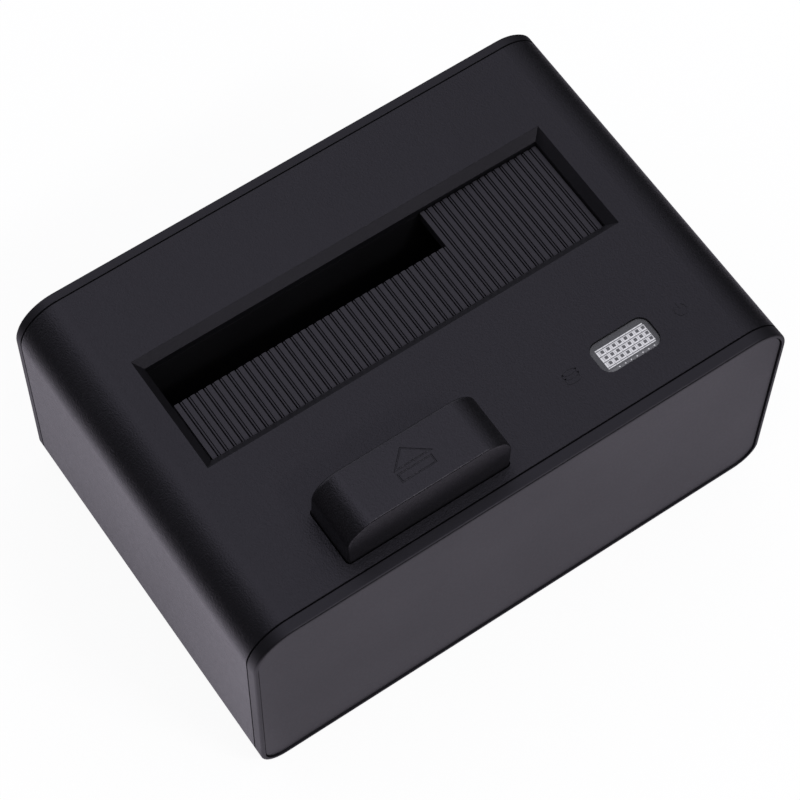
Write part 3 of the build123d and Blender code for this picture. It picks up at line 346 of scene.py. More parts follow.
def makeCamera():
    data = bpy.data.cameras.new("viewCamera")
    data.lens = cameraSet["lens"]
    data.sensor_width = cameraSet["sensor"]
    data.clip_start = cameraSet["clipStart"]
    camera = bpy.data.objects.new("viewCamera", data)
    turn = Matrix.Rotation(-math.radians(cameraSet["turn"]), 4, "Z")
    tilt = Matrix.Rotation(math.radians(90 - cameraSet["lookDown"]), 4, "X")
    lean = Matrix.Rotation(math.radians(cameraSet["lean"]), 4, "Z")
    place = Matrix.Translation(Vector(cameraSet["place"]) * mm)
    camera.matrix_world = place @ turn @ tilt @ lean
    bpy.context.collection.objects.link(camera)
    bpy.context.scene.camera = camera


# sizes in metres; a rise is an axis, where it starts and ends, and the gains there
floorSet = {"half": 4.0, "white": 1.09, "shadowShare": 0.15, "bounce": 0.8, "rough": 0.9,
            "glowNear": 0.105, "glowFar": 0.245, "glowRest": 0.02,
            "glowColour": (1.0, 0.94, 1.08), "glowFront": 0.42, "glowLeft": 1.16,
            "leftStart": -0.11, "leftEnd": -0.06,
            "glowRises": [(1, -0.045, 0.0, 1.18, 1.0), (1, -0.08, -0.055, 1.3, 1.0),
                          (0, 0.01, 0.08, 1.0, 1.16)]}


def makeFloor():
    look = floorSet
    half = look["half"]
    mesh = bpy.data.meshes.new("paleFloor")
    corners = [(-half, -half, 0), (half, -half, 0), (half, half, 0), (-half, half, 0)]
    mesh.from_pydata(corners, [], [(0, 1, 2, 3)])
    floor = bpy.data.objects.new("paleFloor", mesh)
    bpy.context.collection.objects.link(floor)
    material, graph, shader, where, output = newMaterial("paleFloor")
    shader.inputs["Base Color"].default_value = colour([look["bounce"]] * 3)
    shader.inputs["Roughness"].default_value = look["rough"]
    shader.inputs["Specular IOR Level"].default_value = 0.0
    # white for the camera, with a share of the real shading that holds the shadow
    path = graph.add("ShaderNodeLightPath").outputs
    seen = graph.math("MAXIMUM", path["Is Camera Ray"], path["Is Transmission Ray"])
    white = graph.out("ShaderNodeEmission", Strength=look["white"])
    whiteShare = graph.math("MULTIPLY", seen, 1.0 - look["shadowShare"])
    shown = graph.out("ShaderNodeMixShader", no0=whiteShare, no1=shader.outputs[0], no2=white)
    # in mirrored rays the lit sheet ends a short way from the object
    away = graph.add("ShaderNodeVectorMath", {"operation": "LENGTH"}, no0=where)
    fade = graph.span(away.outputs["Value"], look["glowNear"], look["glowFar"],
                      1.0, look["glowRest"])
    place = graph.axes(where)
    side = graph.span(place[0], look["leftStart"], look["leftEnd"],
                      look["glowLeft"], look["glowFront"])
    glow = graph.math("MULTIPLY", fade, side)
    for axis, low, high, toLow, toHigh in look["glowRises"]:
        glow = graph.math("MULTIPLY", glow, graph.span(place[axis], low, high, toLow, toHigh))
    sheet = graph.out("ShaderNodeEmission", Color=colour(look["glowColour"]), Strength=glow)
    mix = graph.out("ShaderNodeMixShader", no0=path["Is Glossy Ray"], no1=shown, no2=sheet)
    # seen from below, the sheet is clear, so that the base shows
    clear = graph.out("ShaderNodeBsdfTransparent")
    below = graph.add("ShaderNodeNewGeometry").outputs["Backfacing"]
    graph.put(output, "Surface", graph.out("ShaderNodeMixShader", no0=below, no1=mix, no2=clear))
    mesh.materials.append(material)


# the lamp stands in front; in mirrored rays the world is a ceiling, which ends at the left
lightSet = {"lampPlace": (0.4, -0.9, 1.12), "lampSize": (0.34, 0.2), "lampPower": 4.0,
            "aim": (0, 0, 0.03), "world": (0.48, 0.475, 0.51), "ceiling": (0.80, 0.80, 0.89),
            "horizon": 0.015, "leftGain": 1.26, "rightGain": 0.72, "across": (0.12, 0.42),
            "leftEnd": (-0.5, -0.2), "rise": (0.35, 0.85), "rear": (0.5, 0.8), "rearGlow": 0.9}


def makeLight():
    look = lightSet
    data = bpy.data.lights.new("frontLamp", "AREA")
    data.shape = "RECTANGLE"
    data.size, data.size_y = look["lampSize"]
    data.energy = look["lampPower"]
    lamp = bpy.data.objects.new("frontLamp", data)
    place = Vector(look["lampPlace"])
    turn = (Vector(look["aim"]) - place).to_track_quat("-Z", "Y").to_matrix().to_4x4()
    lamp.matrix_world = Matrix.Translation(place) @ turn
    bpy.context.collection.objects.link(lamp)
    world = bpy.data.worlds.new("studio")
    bpy.context.scene.world = world
    world.use_nodes = True
    world.node_tree.nodes.clear()
    graph = Graph(world.node_tree)
    path = graph.add("ShaderNodeLightPath").outputs
    way = graph.axes(graph.add("ShaderNodeTexCoord").outputs["Generated"])
    across = graph.span(way[0], *look["across"], look["leftGain"], look["rightGain"])
    across = graph.math("MULTIPLY", across, graph.span(way[0], *look["leftEnd"]))
    glow = graph.math("MULTIPLY", graph.span(way[2], *look["rise"]), across)
    glow = graph.math("ADD", glow, look["horizon"])
    rear = graph.math("MULTIPLY", graph.span(way[1], *look["rear"]), look["rearGlow"])
    mirrored = graph.out("ShaderNodeBackground", Color=colour(look["ceiling"]),
                         Strength=graph.math("MAXIMUM", glow, rear))
    plain = graph.out("ShaderNodeBackground", Color=colour(look["world"]), Strength=1.0)
    white = graph.out("ShaderNodeBackground", Color=colour((1.0, 1.0, 1.0)), Strength=1.0)
    unseen = graph.out("ShaderNodeMixShader", no0=path["Is Glossy Ray"], no1=plain,
                       no2=mirrored)
    seen = graph.math("MAXIMUM", path["Is Camera Ray"], path["Is Transmission Ray"])
    both = graph.out("ShaderNodeMixShader", no0=seen, no1=unseen, no2=white)
    graph.add("ShaderNodeOutputWorld", Surface=both)


# ---- shared steps of the pieces
def boxOf(nodeName):
    return [[value / mm for value in corner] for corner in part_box(nodeName)]


def newPiece(name, mesh, material, body):
    piece = bpy.data.objects.new(name, mesh)
    bpy.context.collection.objects.link(piece)
    if material is not None:
        mesh.materials.clear()
        mesh.materials.append(material)
    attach(piece, body)
    return piece


def meshFrom(name, verts, faces):
    mesh = bpy.data.meshes.new(name)
    mesh.from_pydata([tuple(Vector(v) * mm) for v in verts], [], faces)
    mesh.update()
    return mesh


def joinParts(name, parts):
    verts, faces = [], []
    for partVerts, partFaces in parts:
        start = len(verts)
        verts += partVerts
        faces += [tuple(index + start for index in face) for face in partFaces]
    return meshFrom(name, verts, faces)


# a modifier's result as a plain mesh, with the holder and its modifier gone
def takeMesh(holder):
    shown = holder.evaluated_get(bpy.context.evaluated_depsgraph_get())
    mesh = bpy.data.meshes.new_from_object(shown)
    holder.modifiers.clear()
    bpy.data.objects.remove(holder)
    return mesh


# runs a node tree with named inputs on an empty mesh
def runNodes(name, build, sizes):
    tree = bpy.data.node_groups.new(name, "GeometryNodeTree")
    tree.interface.new_socket("Geometry", in_out="OUTPUT", socket_type="NodeSocketGeometry")
    kinds = {int: "NodeSocketInt", float: "NodeSocketFloat", tuple: "NodeSocketVector"}
    sockets = {}
    for key, value in sizes.items():
        socket = tree.interface.new_socket(key, in_out="INPUT", socket_type=kinds[type(value)])
        sockets[key] = socket.identifier
    graph = Graph(tree)
    given = graph.add("NodeGroupInput")
    result = build(graph, given.outputs)
    graph.add("NodeGroupOutput", Geometry=result)
    holder = bpy.data.objects.new(name, bpy.data.meshes.new(name))
    bpy.context.collection.objects.link(holder)
    modifier = holder.modifiers.new(name, "NODES")
    modifier.node_group = tree
    for key, value in sizes.items():
        modifier[sockets[key]] = value
    mesh = takeMesh(holder)
    mesh.name = name
    if mesh.materials and mesh.materials[0] is None:
        mesh.materials.pop(index=0)
    return mesh


def joined(graph, parts):
    node = graph.tree.nodes.new("GeometryNodeJoinGeometry")
    for part in parts:
        graph.tree.links.new(part, node.inputs[0])
    return node.outputs[0]


def withMaterial(graph, geometry, material):
    return graph.out("GeometryNodeSetMaterial", Geometry=geometry, Material=material)


# a tree's last steps: join, make real, and one material where the parts have none
def closeTree(graph, parts, material=None):
    real = graph.out("GeometryNodeRealizeInstances", Geometry=joined(graph, parts))
    return real if material is None else withMaterial(graph, real, material)


# rows of equal bars: each row has its count, first place, step and size of bar
def barRows(name, rows, material):
    sizes = {}
    for part, row in rows.items():
        sizes[part + " count"] = row["count"]
        for key in ("start", "step", "size"):
            sizes[part + " " + key] = tuple(value * mm for value in row[key])

    def build(graph, given):
        parts = []
        for part in rows:
            line = graph.out("GeometryNodeMeshLine", Count=given[part + " count"],
                             Start_Location=given[part + " start"],
                             Offset=given[part + " step"])
            bar = graph.out("GeometryNodeMeshCube", Size=given[part + " size"])
            parts.append(graph.out("GeometryNodeInstanceOnPoints", Points=line, Instance=bar))
        return closeTree(graph, parts, material)

    return runNodes(name, build, sizes)


# round wire wound at one radius, laid by a turn in degrees about Y, with a straight leg if given
def woundWire(name, look, radius, length, start, turnY=0.0, leg=None):
    sizes = {"Turns": look["turns"], "Radius": radius * mm, "Length": length * mm,
             "Wire": look["wire"] * mm, "Start": tuple(value * mm for value in start)}
    if leg is not None:
        for key, point in zip(("Leg start", "Leg end"), leg):
            sizes[key] = tuple(value * mm for value in point)

    def build(graph, given):
        spiral = graph.out("GeometryNodeCurveSpiral", Resolution=look["resolution"],
                           Rotations=given["Turns"], Start_Radius=given["Radius"],
                           End_Radius=given["Radius"], Height=given["Length"])
        lines = [graph.out("GeometryNodeTransform", Geometry=spiral, Translation=given["Start"],
                           Rotation=(0.0, math.radians(turnY), 0.0))]
        if leg is not None:
            lines.append(graph.out("GeometryNodeCurvePrimitiveLine", Start=given["Leg start"],
                                   End=given["Leg end"]))
        ring = graph.out("GeometryNodeCurvePrimitiveCircle", Resolution=look["sides"],
                         Radius=given["Wire"])
        wire = graph.out("GeometryNodeCurveToMesh", Curve=joined(graph, lines),
                         Profile_Curve=ring, Fill_Caps=True)
        return closeTree(graph, [wire], looks["springWire"])

    mesh = runNodes(name, build, sizes)
    mesh.shade_smooth()
    return mesh


# closed band along an outline, with sloping sides and mitred corners
def bandVerts(points, width, low, high, slope):
    area = sum(a[0] * b[1] - b[0] * a[1] for a, b in zip(points, points[1:] + points[:1]))
    if area < 0:
        points = points[::-1]
    verts, faces, count = [], [], len(points)
    ring = ((width / 2 + slope, low), (width / 2, high), (-width / 2, high),
            (-width / 2 - slope, low))
    for index, point in enumerate(points):
        before, after = points[index - 1], points[(index + 1) % count]
        first = Vector((point[0] - before[0], point[1] - before[1])).normalized()
        second = Vector((after[0] - point[0], after[1] - point[1])).normalized()
        outward = Vector((first.y, -first.x))
        across = (outward + Vector((second.y, -second.x))).normalized()
        reach = 1.0 / max(0.2, across.dot(outward))
        for offset, height in ring:
            verts.append((point[0] + across.x * reach * offset,
                          point[1] + across.y * reach * offset, height))
    for index in range(count):
        here, there = index * 4, ((index + 1) % count) * 4
        for step in range(4):
            other = (step + 1) % 4
            faces.append((here + step, there + step, there + other, here + other))
    return verts, faces


# points of an arc, or of a part of an ellipse where radiusY is given
def arcPoints(x, y, radius, start, end, count, radiusY=None):
    angles = [math.radians(start + (end - start) * step / count) for step in range(count + 1)]
    high = radius if radiusY is None else radiusY
    return [(x + radius * math.cos(angle), y + high * math.sin(angle)) for angle in angles]


# a line of some width, raised from low to high
def raisedStroke(points, width, low, high):
    left, right = [], []
    for index, point in enumerate(points):
        before, after = points[max(index - 1, 0)], points[min(index + 1, len(points) - 1)]
        along = Vector((after[0] - before[0], after[1] - before[1])).normalized() * width / 2
        left.append((point[0] - along.y, point[1] + along.x))
        right.append((point[0] + along.y, point[1] - along.x))
    outline = left + right[::-1]
    count = len(outline)
    verts = [(x, y, low) for x, y in outline] + [(x, y, high) for x, y in outline]
    faces = [(count + index, count + (index + 1) % count, (index + 1) % count, index)
             for index in range(count)]
    for index in range(len(points) - 1):
        quad = (index, index + 1, count - 2 - index, count - 1 - index)
        faces.append(quad)
        faces.append(tuple(count + corner for corner in quad[::-1]))
    return verts, faces


# merges doubles, and turns the faces outwards where asked
def cleanMesh(mesh, distance, turn):
    work = bmesh.new()
    work.from_mesh(mesh)
    bmesh.ops.remove_doubles(work, verts=work.verts, dist=distance)
    if turn:
        bmesh.ops.recalc_face_normals(work, faces=work.faces)
    work.to_mesh(mesh)
    work.free()


# a node's loose triangles, copied and merged, without their old normals
def mergedCopy(nodeName, name):
    mesh = nodes[nodeName].data.copy()
    mesh.name = name
    cleanMesh(mesh, 1e-6, False)
    if "custom_normal" in mesh.attributes:
        mesh.attributes.remove(mesh.attributes["custom_normal"])
    return mesh


def cutMesh(mesh, cutter, name):
    target = bpy.data.objects.new(name, mesh)
    tool = bpy.data.objects.new(name + "Cutter", cutter)
    bpy.context.collection.objects.link(target)
    bpy.context.collection.objects.link(tool)
    modifier = target.modifiers.new("cut", "BOOLEAN")
    modifier.object = tool
    modifier.operation = "DIFFERENCE"
    modifier.solver = "EXACT"
    result = takeMesh(target)
    bpy.data.objects.remove(tool)
    return result


# smooth shading that follows the large faces and breaks at the hard edges
def smoothRound(mesh, angle):
    mesh.shade_smooth()
    mesh.set_sharp_from_angle(angle=math.radians(angle))
    target = bpy.data.objects.new(mesh.name, mesh)
    bpy.context.collection.objects.link(target)
    modifier = target.modifiers.new("weights", "WEIGHTED_NORMAL")
    modifier.keep_sharp = True
    modifier.weight = 100
    return takeMesh(target)


# ---- pieces that the scene adds, sizes in mm
# the button's form as the source has it, and the crisper front edge that it gets here
buttonSet = {"left": -42.2, "right": -0.8, "front": -42.15, "endRadius": 6.8, "foot": 66.5,
             "draft": 0.57, "edgeRadius": 0.9, "newDraft": 0.15, "newEdgeRadius": 0.4,
             "hardAngle": 28}
# the sign cut into its top: a triangle over a bar
ejectSign = {"apex": (-21.95, -31.25), "baseLeft": -25.8, "baseRight": -16.9, "baseY": -35.05,
             "barTop": -36.1, "barBottom": -38.0, "barLeft": -25.85, "barRight": -17.45,
             "line": 0.06, "slope": 0.17, "mouth": 2.6, "depth": 0.12, "above": 0.05}


# the rounding's vertices slide along both of its faces
def sharpenFront(mesh, top):
    look = buttonSet
    reach, share = look["edgeRadius"] + 0.02, look["newEdgeRadius"] / look["edgeRadius"]
    middle = (look["left"] + look["right"]) / 2
    half = (look["right"] - look["left"]) / 2
    for vert in mesh.vertices:
        x, y, z = [value / mm for value in vert.co]
        rise = (z - look["foot"]) / (top - look["foot"])
        behind = y - look["front"] - look["draft"] * rise
        if rise < 0.02 or behind > reach:
            continue
        overX = abs(x - middle) - half + look["endRadius"]
        overZ = z - top + look["endRadius"]
        if overX > 0 and overZ > 0:
            outward = Vector((math.copysign(overX, x - middle), 0, overZ)).normalized()
            inside = look["endRadius"] - math.hypot(overX, overZ)
        elif look["endRadius"] - overX < top - z:
            outward = Vector((math.copysign(1, x - middle), 0, 0))
            inside = look["endRadius"] - overX
        else:
            outward, inside = Vector((0, 0, 1)), top - z
        shift = Vector((0, (look["newDraft"] - look["draft"]) * rise, 0))
        if inside < reach:
            shift += (outward * inside - Vector((0, behind, 0))) * (1 - share)
        vert.co += shift * mm
    mesh.update()


def makeButton():
    look = ejectSign
    top = boxOf("eject_button")[1][2]
    body = mergedCopy("eject_button", "ejectButtonBody")
    sharpenFront(body, top)
    triangle = [(look["baseLeft"], look["baseY"]), (look["baseRight"], look["baseY"]),
                look["apex"]]
    bar = [(look["barLeft"], look["barBottom"]), (look["barRight"], look["barBottom"]),
           (look["barRight"], look["barTop"]), (look["barLeft"], look["barTop"])]
    width = look["line"] + look["mouth"] * look["slope"]
    grooves = [bandVerts(outline, width, top - look["depth"], top + look["above"],
                         -look["slope"]) for outline in (triangle, bar)]
    cutter = joinParts("ejectGrooves", grooves)
    cleanMesh(cutter, 1e-7, True)
    mesh = smoothRound(cutMesh(body, cutter, "ejectButtonCut"), buttonSet["hardAngle"])
    piece = newPiece("eject_button_signed", mesh, looks["button"], "button")
    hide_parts("eject_button")


# narrow ribs in the flap's grooves, lower than the broad ones, with a deep line at their left
ribSet = {"pitch": 2.04, "rightEdge": 51.55, "gap": 0.42, "width": 0.33, "drop": 0.28,
          "grooveDepth": 0.8, "front": -4.6, "notchFront": 11.25, "back": 21.49,
          "notchRight": 19.8, "left": -52.05, "top": 63.3}


def makeFineRibs():
    look = ribSet
    pitch, width = look["pitch"], look["width"]
    middle = look["rightEdge"] + look["gap"] + width / 2
    total = int((look["rightEdge"] - look["left"]) / pitch)
    longCount = sum(middle - step * pitch - width / 2 > look["notchRight"]
                    for step in range(1, total + 1))
    height = look["grooveDepth"] - look["drop"]
    level = look["top"] - look["drop"] - height / 2
    rows = {}
    for part, first, count, back in (("Long", 1, longCount, look["back"]),
                                     ("Short", longCount + 1, total - longCount,
                                      look["notchFront"])):
        rows[part] = {"count": count, "step": (-pitch, 0.0, 0.0),
                      "start": (middle - first * pitch, (look["front"] + back) / 2, level),
                      "size": (width, back - look["front"], height)}
    mesh = barRows("flap_fine_ribs", rows, looks["flap"])
    newPiece("flap_fine_ribs", mesh, None, "flap")


# prisms of the light window: rows of small pyramids with flat tops, beads along the front,
# and a white plate under them with thin lines between the rows; prisms and plate have a painted
# glow
prismSet = {"columns": 8, "rows": 3, "pitchX": 1.56, "pitchY": 1.53, "firstX": 31.45,
            "firstY": -34.2, "base": 0.99, "top": 0.56, "height": 0.24, "beadRadius": 0.2,
            "beads": 7, "beadX": 32.6, "beadY": -36.0, "beadSunk": 0.05, "plateLeft": 30.2,
            "plateRight": 42.9, "plateFront": -35.3, "plateBack": -30.0, "plateThick": 0.1,
            "plateRise": 0.01}
# the plate's glow is painted light: it shines by itself, with no lamp behind it
plateSet = {"dark": (0.84, 0.84, 0.86), "light": (0.95, 0.95, 0.97), "line": (0.10, 0.10, 0.11),
            "rowLine": 0.44, "columnLine": 0.46, "lineEdge": 0.02, "columnShare": 0.6,
            "glow": 0.12, "rough": (0.25, 0.35)}


def prismPlate():
    look = plateSet
    material, graph, shader, where, _ = newMaterial("prismPlate")
    place = graph.axes(where)
    lines = []
    for axis, first, pitch, share in (
            (1, prismSet["firstY"], prismSet["pitchY"], look["rowLine"]),
            (0, prismSet["firstX"], prismSet["pitchX"], look["columnLine"])):
        along = graph.math("DIVIDE", graph.math("SUBTRACT", place[axis],
                                                (first - pitch / 2) * mm), pitch * mm)
        off = graph.math("ABSOLUTE", graph.math("SUBTRACT", graph.math("FRACT", along), 0.5))
        lines.append(graph.span(off, share - look["lineEdge"], share + look["lineEdge"]))
    faint = graph.math("MULTIPLY", lines[1], look["columnShare"])
    patch = graph.spread(graph.noise(where, 0.5 * mm))
    white = graph.blend(patch, colour(look["dark"]), colour(look["light"]))
    shade = graph.blend(graph.math("MAXIMUM", lines[0], faint), white, colour(look["line"]))
    graph.put(shader, "Base Color", shade)
    # painted glow of the plate
    graph.put(shader, "Emission Color", shade)
    shader.inputs["Emission Strength"].default_value = look["glow"]
    graph.put(shader, "Roughness", graph.span(patch, 0.0, 1.0, *look["rough"]))
    return material


def makePrisms():
    look = prismSet
    top = boxOf("led_lens")[1][2]
    plateMaterial = prismPlate()

    def build(graph, given):
        grid = graph.out("GeometryNodeMeshGrid", Size_X=given["Width"], Size_Y=given["Depth"],
                         Vertices_X=given["Columns"], Vertices_Y=given["Rows"])
        placed = graph.out("GeometryNodeTransform", Geometry=grid, Translation=given["Middle"])
        cone = graph.add("GeometryNodeMeshCone", {"fill_type": "NGON"}, Vertices=4,
                         Radius_Top=given["Top"], Radius_Bottom=given["Base"],
                         Depth=given["Height"])
        white = withMaterial(graph, cone.outputs["Mesh"], looks["prism"])
        dark = graph.out("GeometryNodeSetMaterial", Geometry=white,
                         Selection=cone.outputs["Top"], Material=looks["windowPlastic"])
        square = graph.out("GeometryNodeTransform", Geometry=dark,
                           Rotation=(0, 0, math.radians(45)))
        prisms = graph.out("GeometryNodeInstanceOnPoints", Points=placed, Instance=square)
        line = graph.out("GeometryNodeMeshLine", Count=given["Beads"],
                         Start_Location=given["Bead start"], Offset=given["Bead step"])
        bead = graph.out("GeometryNodeMeshIcoSphere", Radius=given["Bead"], Subdivisions=2)
        beads = graph.out("GeometryNodeInstanceOnPoints", Points=line,
                          Instance=withMaterial(graph, bead, looks["prism"]))
        sheet = graph.out("GeometryNodeMeshCube", Size=given["Plate size"])
        laid = graph.out("GeometryNodeTransform", Geometry=sheet,
                         Translation=given["Plate middle"])
        return closeTree(graph, [prisms, beads, withMaterial(graph, laid, plateMaterial)])

    width, depth = (look["columns"] - 1) * look["pitchX"], (look["rows"] - 1) * look["pitchY"]
    places = {
        "Middle": (look["firstX"] + width / 2, look["firstY"] + depth / 2, top),
        "Bead start": (look["beadX"], look["beadY"], top - look["beadSunk"]),
        "Bead step": (look["pitchX"], 0.0, 0.0),
        "Plate size": (look["plateRight"] - look["plateLeft"],
                       look["plateBack"] - look["plateFront"], look["plateThick"]),
        "Plate middle": ((look["plateLeft"] + look["plateRight"]) / 2,
                         (look["plateFront"] + look["plateBack"]) / 2,
                         top + look["plateRise"])}
    sizes = {key: tuple(value * mm for value in place) for key, place in places.items()}
    sizes.update({"Width": width * mm, "Depth": depth * mm, "Columns": look["columns"],
                  "Rows": look["rows"], "Base": look["base"] * mm, "Top": look["top"] * mm,
                  "Height": look["height"] * mm, "Beads": look["beads"],
                  "Bead": look["beadRadius"] * mm})
    mesh = runNodes("light_prisms", build, sizes)
    newPiece("light_prisms", mesh, None, "casing")


# dark strips of painted shade at the bottom of the two seams between the sleeve and its caps;
# they lie nearer to the surface at the sides than at the top
seamSet = {"half": 70.08, "bottom": 1.5, "top": 66.5, "lowRadius": 6.5, "highRadius": 10.5,
           "places": (-45.25, 45.85), "sunk": 0.085, "thick": 0.14, "width": 0.36, "steps": 24}


def makeSeams():
    look = seamSet
    inset = look["sunk"] + look["thick"] / 2
    low, high = look["lowRadius"], look["highRadius"]
    lowZ, highZ = look["bottom"] + low, look["top"] - high
    outline = []
    for side, z, radius, start in ((1, lowZ, low, 270), (1, highZ, high, 0),
                                   (-1, highZ, high, 90), (-1, lowZ, low, 180)):
        outline += arcPoints(side * (look["half"] - radius), z, radius - inset,
                             start, start + 90, look["steps"])
    rings = []
    for place in look["places"]:
        verts, faces = bandVerts(outline, look["thick"], place - look["width"] / 2,
                                 place + look["width"] / 2, 0.0)
        rings.append(([(x, y, z) for x, z, y in verts], faces))
    mesh = joinParts("seam_strips", rings)
    cleanMesh(mesh, 1e-7, True)
    newPiece("seam_strips", mesh, looks["seam"], "casing")


# raised signs beside the light: a stack of discs for the drive, a broken ring with a stroke
# for power
signSet = {"driveX": 22.4, "powerX": 51.9, "y": -32.2, "line": 0.34, "rise": 0.09,
           "sunk": 0.02, "discRadius": 1.7, "discHeight": 0.62, "discs": (1.15, 0.1, -1.05),
           "ringRadius": 1.45, "ringStart": 125, "ringEnd": 415, "strokeFrom": 0.3,
           "strokeTo": 1.9}


def makeSigns():
    look = signSet
    top = boxOf("top_shell")[1][2]
    x, y, radius = look["driveX"], look["y"], look["discRadius"]
    strokes = []
    for index, offset in enumerate(look["discs"]):  # only the top disc is whole
        strokes.append(arcPoints(x, y + offset, radius, 180 if index else 0, 360, 32,
                                 look["discHeight"]))
    for side in (-radius, radius):
        strokes.append([(x + side, y + look["discs"][0]), (x + side, y + look["discs"][-1])])
    x = look["powerX"]
    strokes.append(arcPoints(x, y, look["ringRadius"], look["ringStart"], look["ringEnd"], 36))
    strokes.append([(x, y + look["strokeFrom"]), (x, y + look["strokeTo"])])
    mesh = joinParts("light_signs", [raisedStroke(points, look["line"], top - look["sunk"],
                                                  top + look["rise"]) for points in strokes])
    newPiece("light_signs", mesh, looks["sleeve"], "casing")


# printed marks on the rocker: a bar for on and a ring for off, each on its own half of the
# hollow face
rockerSet = {"x": 11.9, "axisY": 44.7, "axisZ": 13.7, "tilt": 8.0, "rise": 2.9, "dip": 0.6,
             "half": 3.9, "line": 0.4, "height": 0.04, "sunk": 0.02, "place": 2.1, "bar": 1.0,
             "ring": 0.75}


def makeRockerMarks():
    look = rockerSet
    tilt, place = math.radians(look["tilt"]), look["place"]
    out = Vector((0, math.cos(tilt), -math.sin(tilt)))
    up = Vector((0, math.sin(tilt), math.cos(tilt)))
    marks = ([(0.0, place - look["bar"]), (0.0, place + look["bar"])],
             arcPoints(0.0, -place, look["ring"], 0, 360, 32))
    placed = []
    for points in marks:
        verts, faces = raisedStroke(points, look["line"], -look["sunk"], look["height"])
        spots = []
        for across, along, height in verts:
            face = look["rise"] - look["dip"] * (1 - abs(along) / look["half"])
            middle = Vector((look["x"] + across, look["axisY"], look["axisZ"]))
            spots.append(middle + out * (face + height) + up * along)
        placed.append((spots, faces))
    mesh = joinParts("rocker_marks", placed)
    cleanMesh(mesh, 1e-7, True)
    newPiece("rocker_marks", mesh, looks["print"], "rocker")


# plated contacts on both tongues of the data port
contactSet = {"x": -19.6, "length": 8.0, "thick": 0.12, "fromBack": 0.5, "wide": 0.9,
              "widePitch": 2.4, "narrow": 0.5, "narrowPitch": 1.0, "tongueTop": 5.0,
              "tongueBottom": 1.8, "upperUnder": 7.85}


def makePortContacts():
    look = contactSet
    low, high = boxOf("usb_tongue")
    middleY = high[1] - look["fromBack"] - look["length"] / 2
    lift = look["thick"] / 2
    rows = {}
    for part, count, pitch, width, height in (
            ("Upper", 5, look["narrowPitch"], look["narrow"], look["upperUnder"] - lift),
            ("Top", 2, look["widePitch"], look["wide"], look["tongueTop"] + lift),
            ("Bottom", 2, look["widePitch"], look["wide"], look["tongueBottom"] - lift)):
        start = (look["x"] - (count - 1) * pitch / 2, middleY, low[2] + height)
        rows[part] = {"count": count, "start": start, "step": (pitch, 0.0, 0.0),
                      "size": (width, look["length"], look["thick"])}
    mesh = barRows("usb_contacts", rows, looks["goldPlate"])
    newPiece("usb_contacts", mesh, None, "casing")


# closing spring of the flap: close turns on the pin, and a leg that lies under the plate
coilSet = {"turns": 9.5, "wire": 0.25, "radius": 1.55, "leg": 7.0, "legDrop": 0.2,
           "resolution": 28, "sides": 12}


def makeFlapSpring():
    look = coilSet
    wire, radius = look["wire"], look["radius"]
    low, high = boxOf("flap_spring")
    axisY, axisZ = low[1] + radius + wire, low[2] + radius + wire
    legStart = (high[0] - wire, axisY + radius, axisZ + look["legDrop"])
    legEnd = (legStart[0], legStart[1] + look["leg"], legStart[2])
    mesh = woundWire("flap_spring_wound", look, radius, high[0] - low[0] - 2 * wire,
                     (low[0] + wire, axisY, axisZ), 90, (legStart, legEnd))
    piece = newPiece("flap_spring_wound", mesh, None, "flap")
    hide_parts("flap_spring")


# return spring of the button, which stands on the bridge; it is wound at its rest length only
returnSet = {"turns": 4.5, "wire": 0.4, "travel": 5.0, "resolution": 28, "sides": 12}


def makeButtonSpring():
    look = returnSet
    low, high = boxOf("button_spring")
    x, y, height = (low[0] + high[0]) / 2, (low[1] + high[1]) / 2, high[2] - low[2]
    mesh = woundWire("button_spring_wound", look, (high[0] - low[0]) / 2 - look["wire"],
                     height - 2 * look["wire"], (x, y, low[2] + look["wire"]))
    piece = newPiece("button_spring_wound", mesh, None, "casing")
    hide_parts("button_spring")
    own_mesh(piece)


# pan-head screws under the base, with a cross recess, each turned by chance
screwSet = {"head": 2.4, "headHeight": 1.2, "shank": 1.2, "shankLength": 8.0,
            "crossLength": 2.6, "crossWidth": 0.62, "crossDepth": 0.7, "edge": 0.45,
            "edgeShare": 0.3, "sides": 32, "hardAngle": 30, "mostTurn": 1.5, "seed": 4}


def panHeadScrew(look):
    head, edge, shank = look["head"], look["edge"], look["shank"]
    tip, bevel = look["headHeight"] + look["shankLength"], edge * look["edgeShare"]
    profile = [(0.0, 0.0), (head - edge, 0.0), (head - bevel, bevel), (head, edge),
               (head, look["headHeight"]), (shank, look["headHeight"]), (shank, tip),
               (0.0, tip)]
    work = bmesh.new()
    verts = [work.verts.new((radius * mm, 0, height * mm)) for radius, height in profile]
    edges = [work.edges.new(pair) for pair in zip(verts, verts[1:])]
    bmesh.ops.spin(work, geom=verts + edges, axis=(0, 0, 1), cent=(0, 0, 0),
                   steps=look["sides"], angle=math.tau, use_merge=True)
    mesh = bpy.data.meshes.new("panHeadScrew")
    work.to_mesh(mesh)
    work.free()
    cleanMesh(mesh, 1e-7, True)
    return mesh


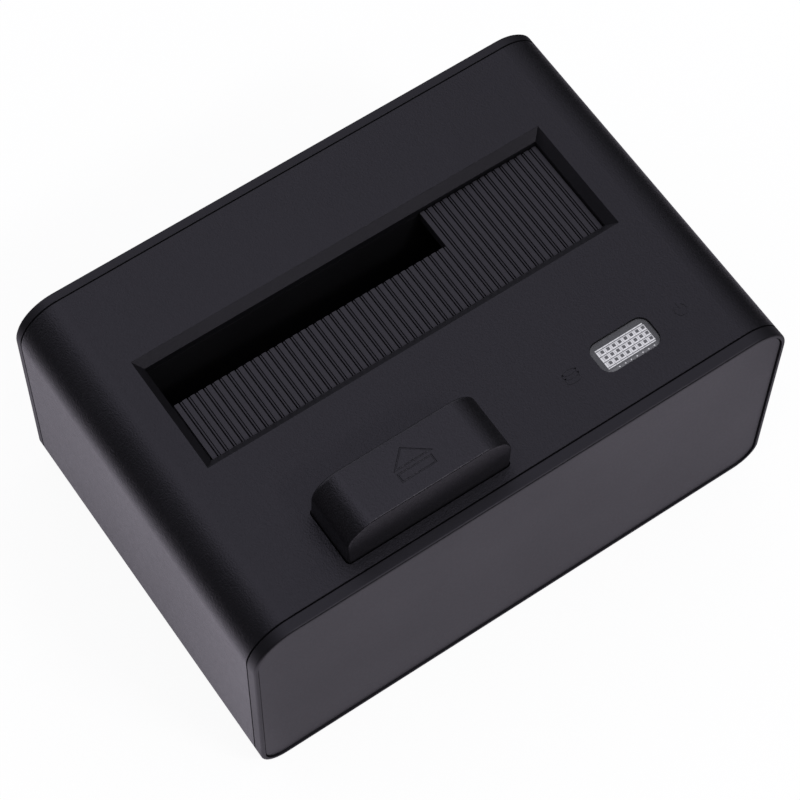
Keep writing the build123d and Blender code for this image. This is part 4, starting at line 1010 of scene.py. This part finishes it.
def crossRecess(look):
    arm, half = look["crossLength"] / 2, look["crossWidth"] / 2
    deep = look["crossDepth"]
    quarter = [(arm, -half), (arm, half), (half, half)]
    corners = quarter + [(-y, x) for x, y in quarter]
    corners += [(-x, -y) for x, y in corners]
    count = len(corners)
    faces = [(index, (index + 1) % count, count + (index + 1) % count, count + index)
             for index in range(count)]
    faces += [tuple(range(count - 1, -1, -1)), tuple(range(count, 2 * count))]
    verts = [(x, y, -deep) for x, y in corners] + [(x, y, deep) for x, y in corners]
    return meshFrom("crossRecess", verts, faces)


def makeCaseScrews():
    look = screwSet
    low, high = boxOf("case_screws")
    screwMesh = cutMesh(panHeadScrew(look), crossRecess(look), "panHeadScrew")
    master = bpy.data.objects.new("panHeadMaster", smoothRound(screwMesh, look["hardAngle"]))
    bpy.context.collection.objects.link(master)

    def build(graph, given):
        grid = graph.out("GeometryNodeMeshGrid", Size_X=given["Across"], Size_Y=given["Along"],
                         Vertices_X=2, Vertices_Y=2)
        placed = graph.out("GeometryNodeTransform", Geometry=grid, Translation=given["Middle"])
        source = graph.add("GeometryNodeObjectInfo", Object=master)
        turned = graph.add("FunctionNodeRandomValue", {"data_type": "FLOAT"},
                           Seed=given["Seed"], no3=given["Most turn"])
        angle = graph.out("ShaderNodeCombineXYZ", Z=turned.outputs[1])
        many = graph.out("GeometryNodeInstanceOnPoints", Points=placed,
                         Instance=source.outputs["Geometry"], Rotation=angle)
        return closeTree(graph, [many], looks["zincSteel"])

    head = look["head"]
    mesh = runNodes("case_screws_crossed", build, {
        "Across": (high[0] - low[0] - 2 * head) * mm,
        "Along": (high[1] - low[1] - 2 * head) * mm,
        "Middle": (0.0, 0.0, low[2] * mm), "Seed": look["seed"], "Most turn": look["mostTurn"]})
    bpy.data.objects.remove(master)
    piece = newPiece("case_screws_crossed", mesh, None, "casing")
    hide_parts("case_screws")


makeButton()
makeFineRibs()
print("button with its sign, fine ribs on the flap")
makePrisms()
makeSeams()
makeSigns()
makeRockerMarks()
print("light window, seams, signs and rocker marks")
makePortContacts()
makeFlapSpring()
makeButtonSpring()
makeCaseScrews()
print("port contacts, springs and case screws")

makeCamera()
makeFloor()
makeLight()
bpy.context.scene.view_settings.view_transform = "Standard"
print("camera, floor and light")
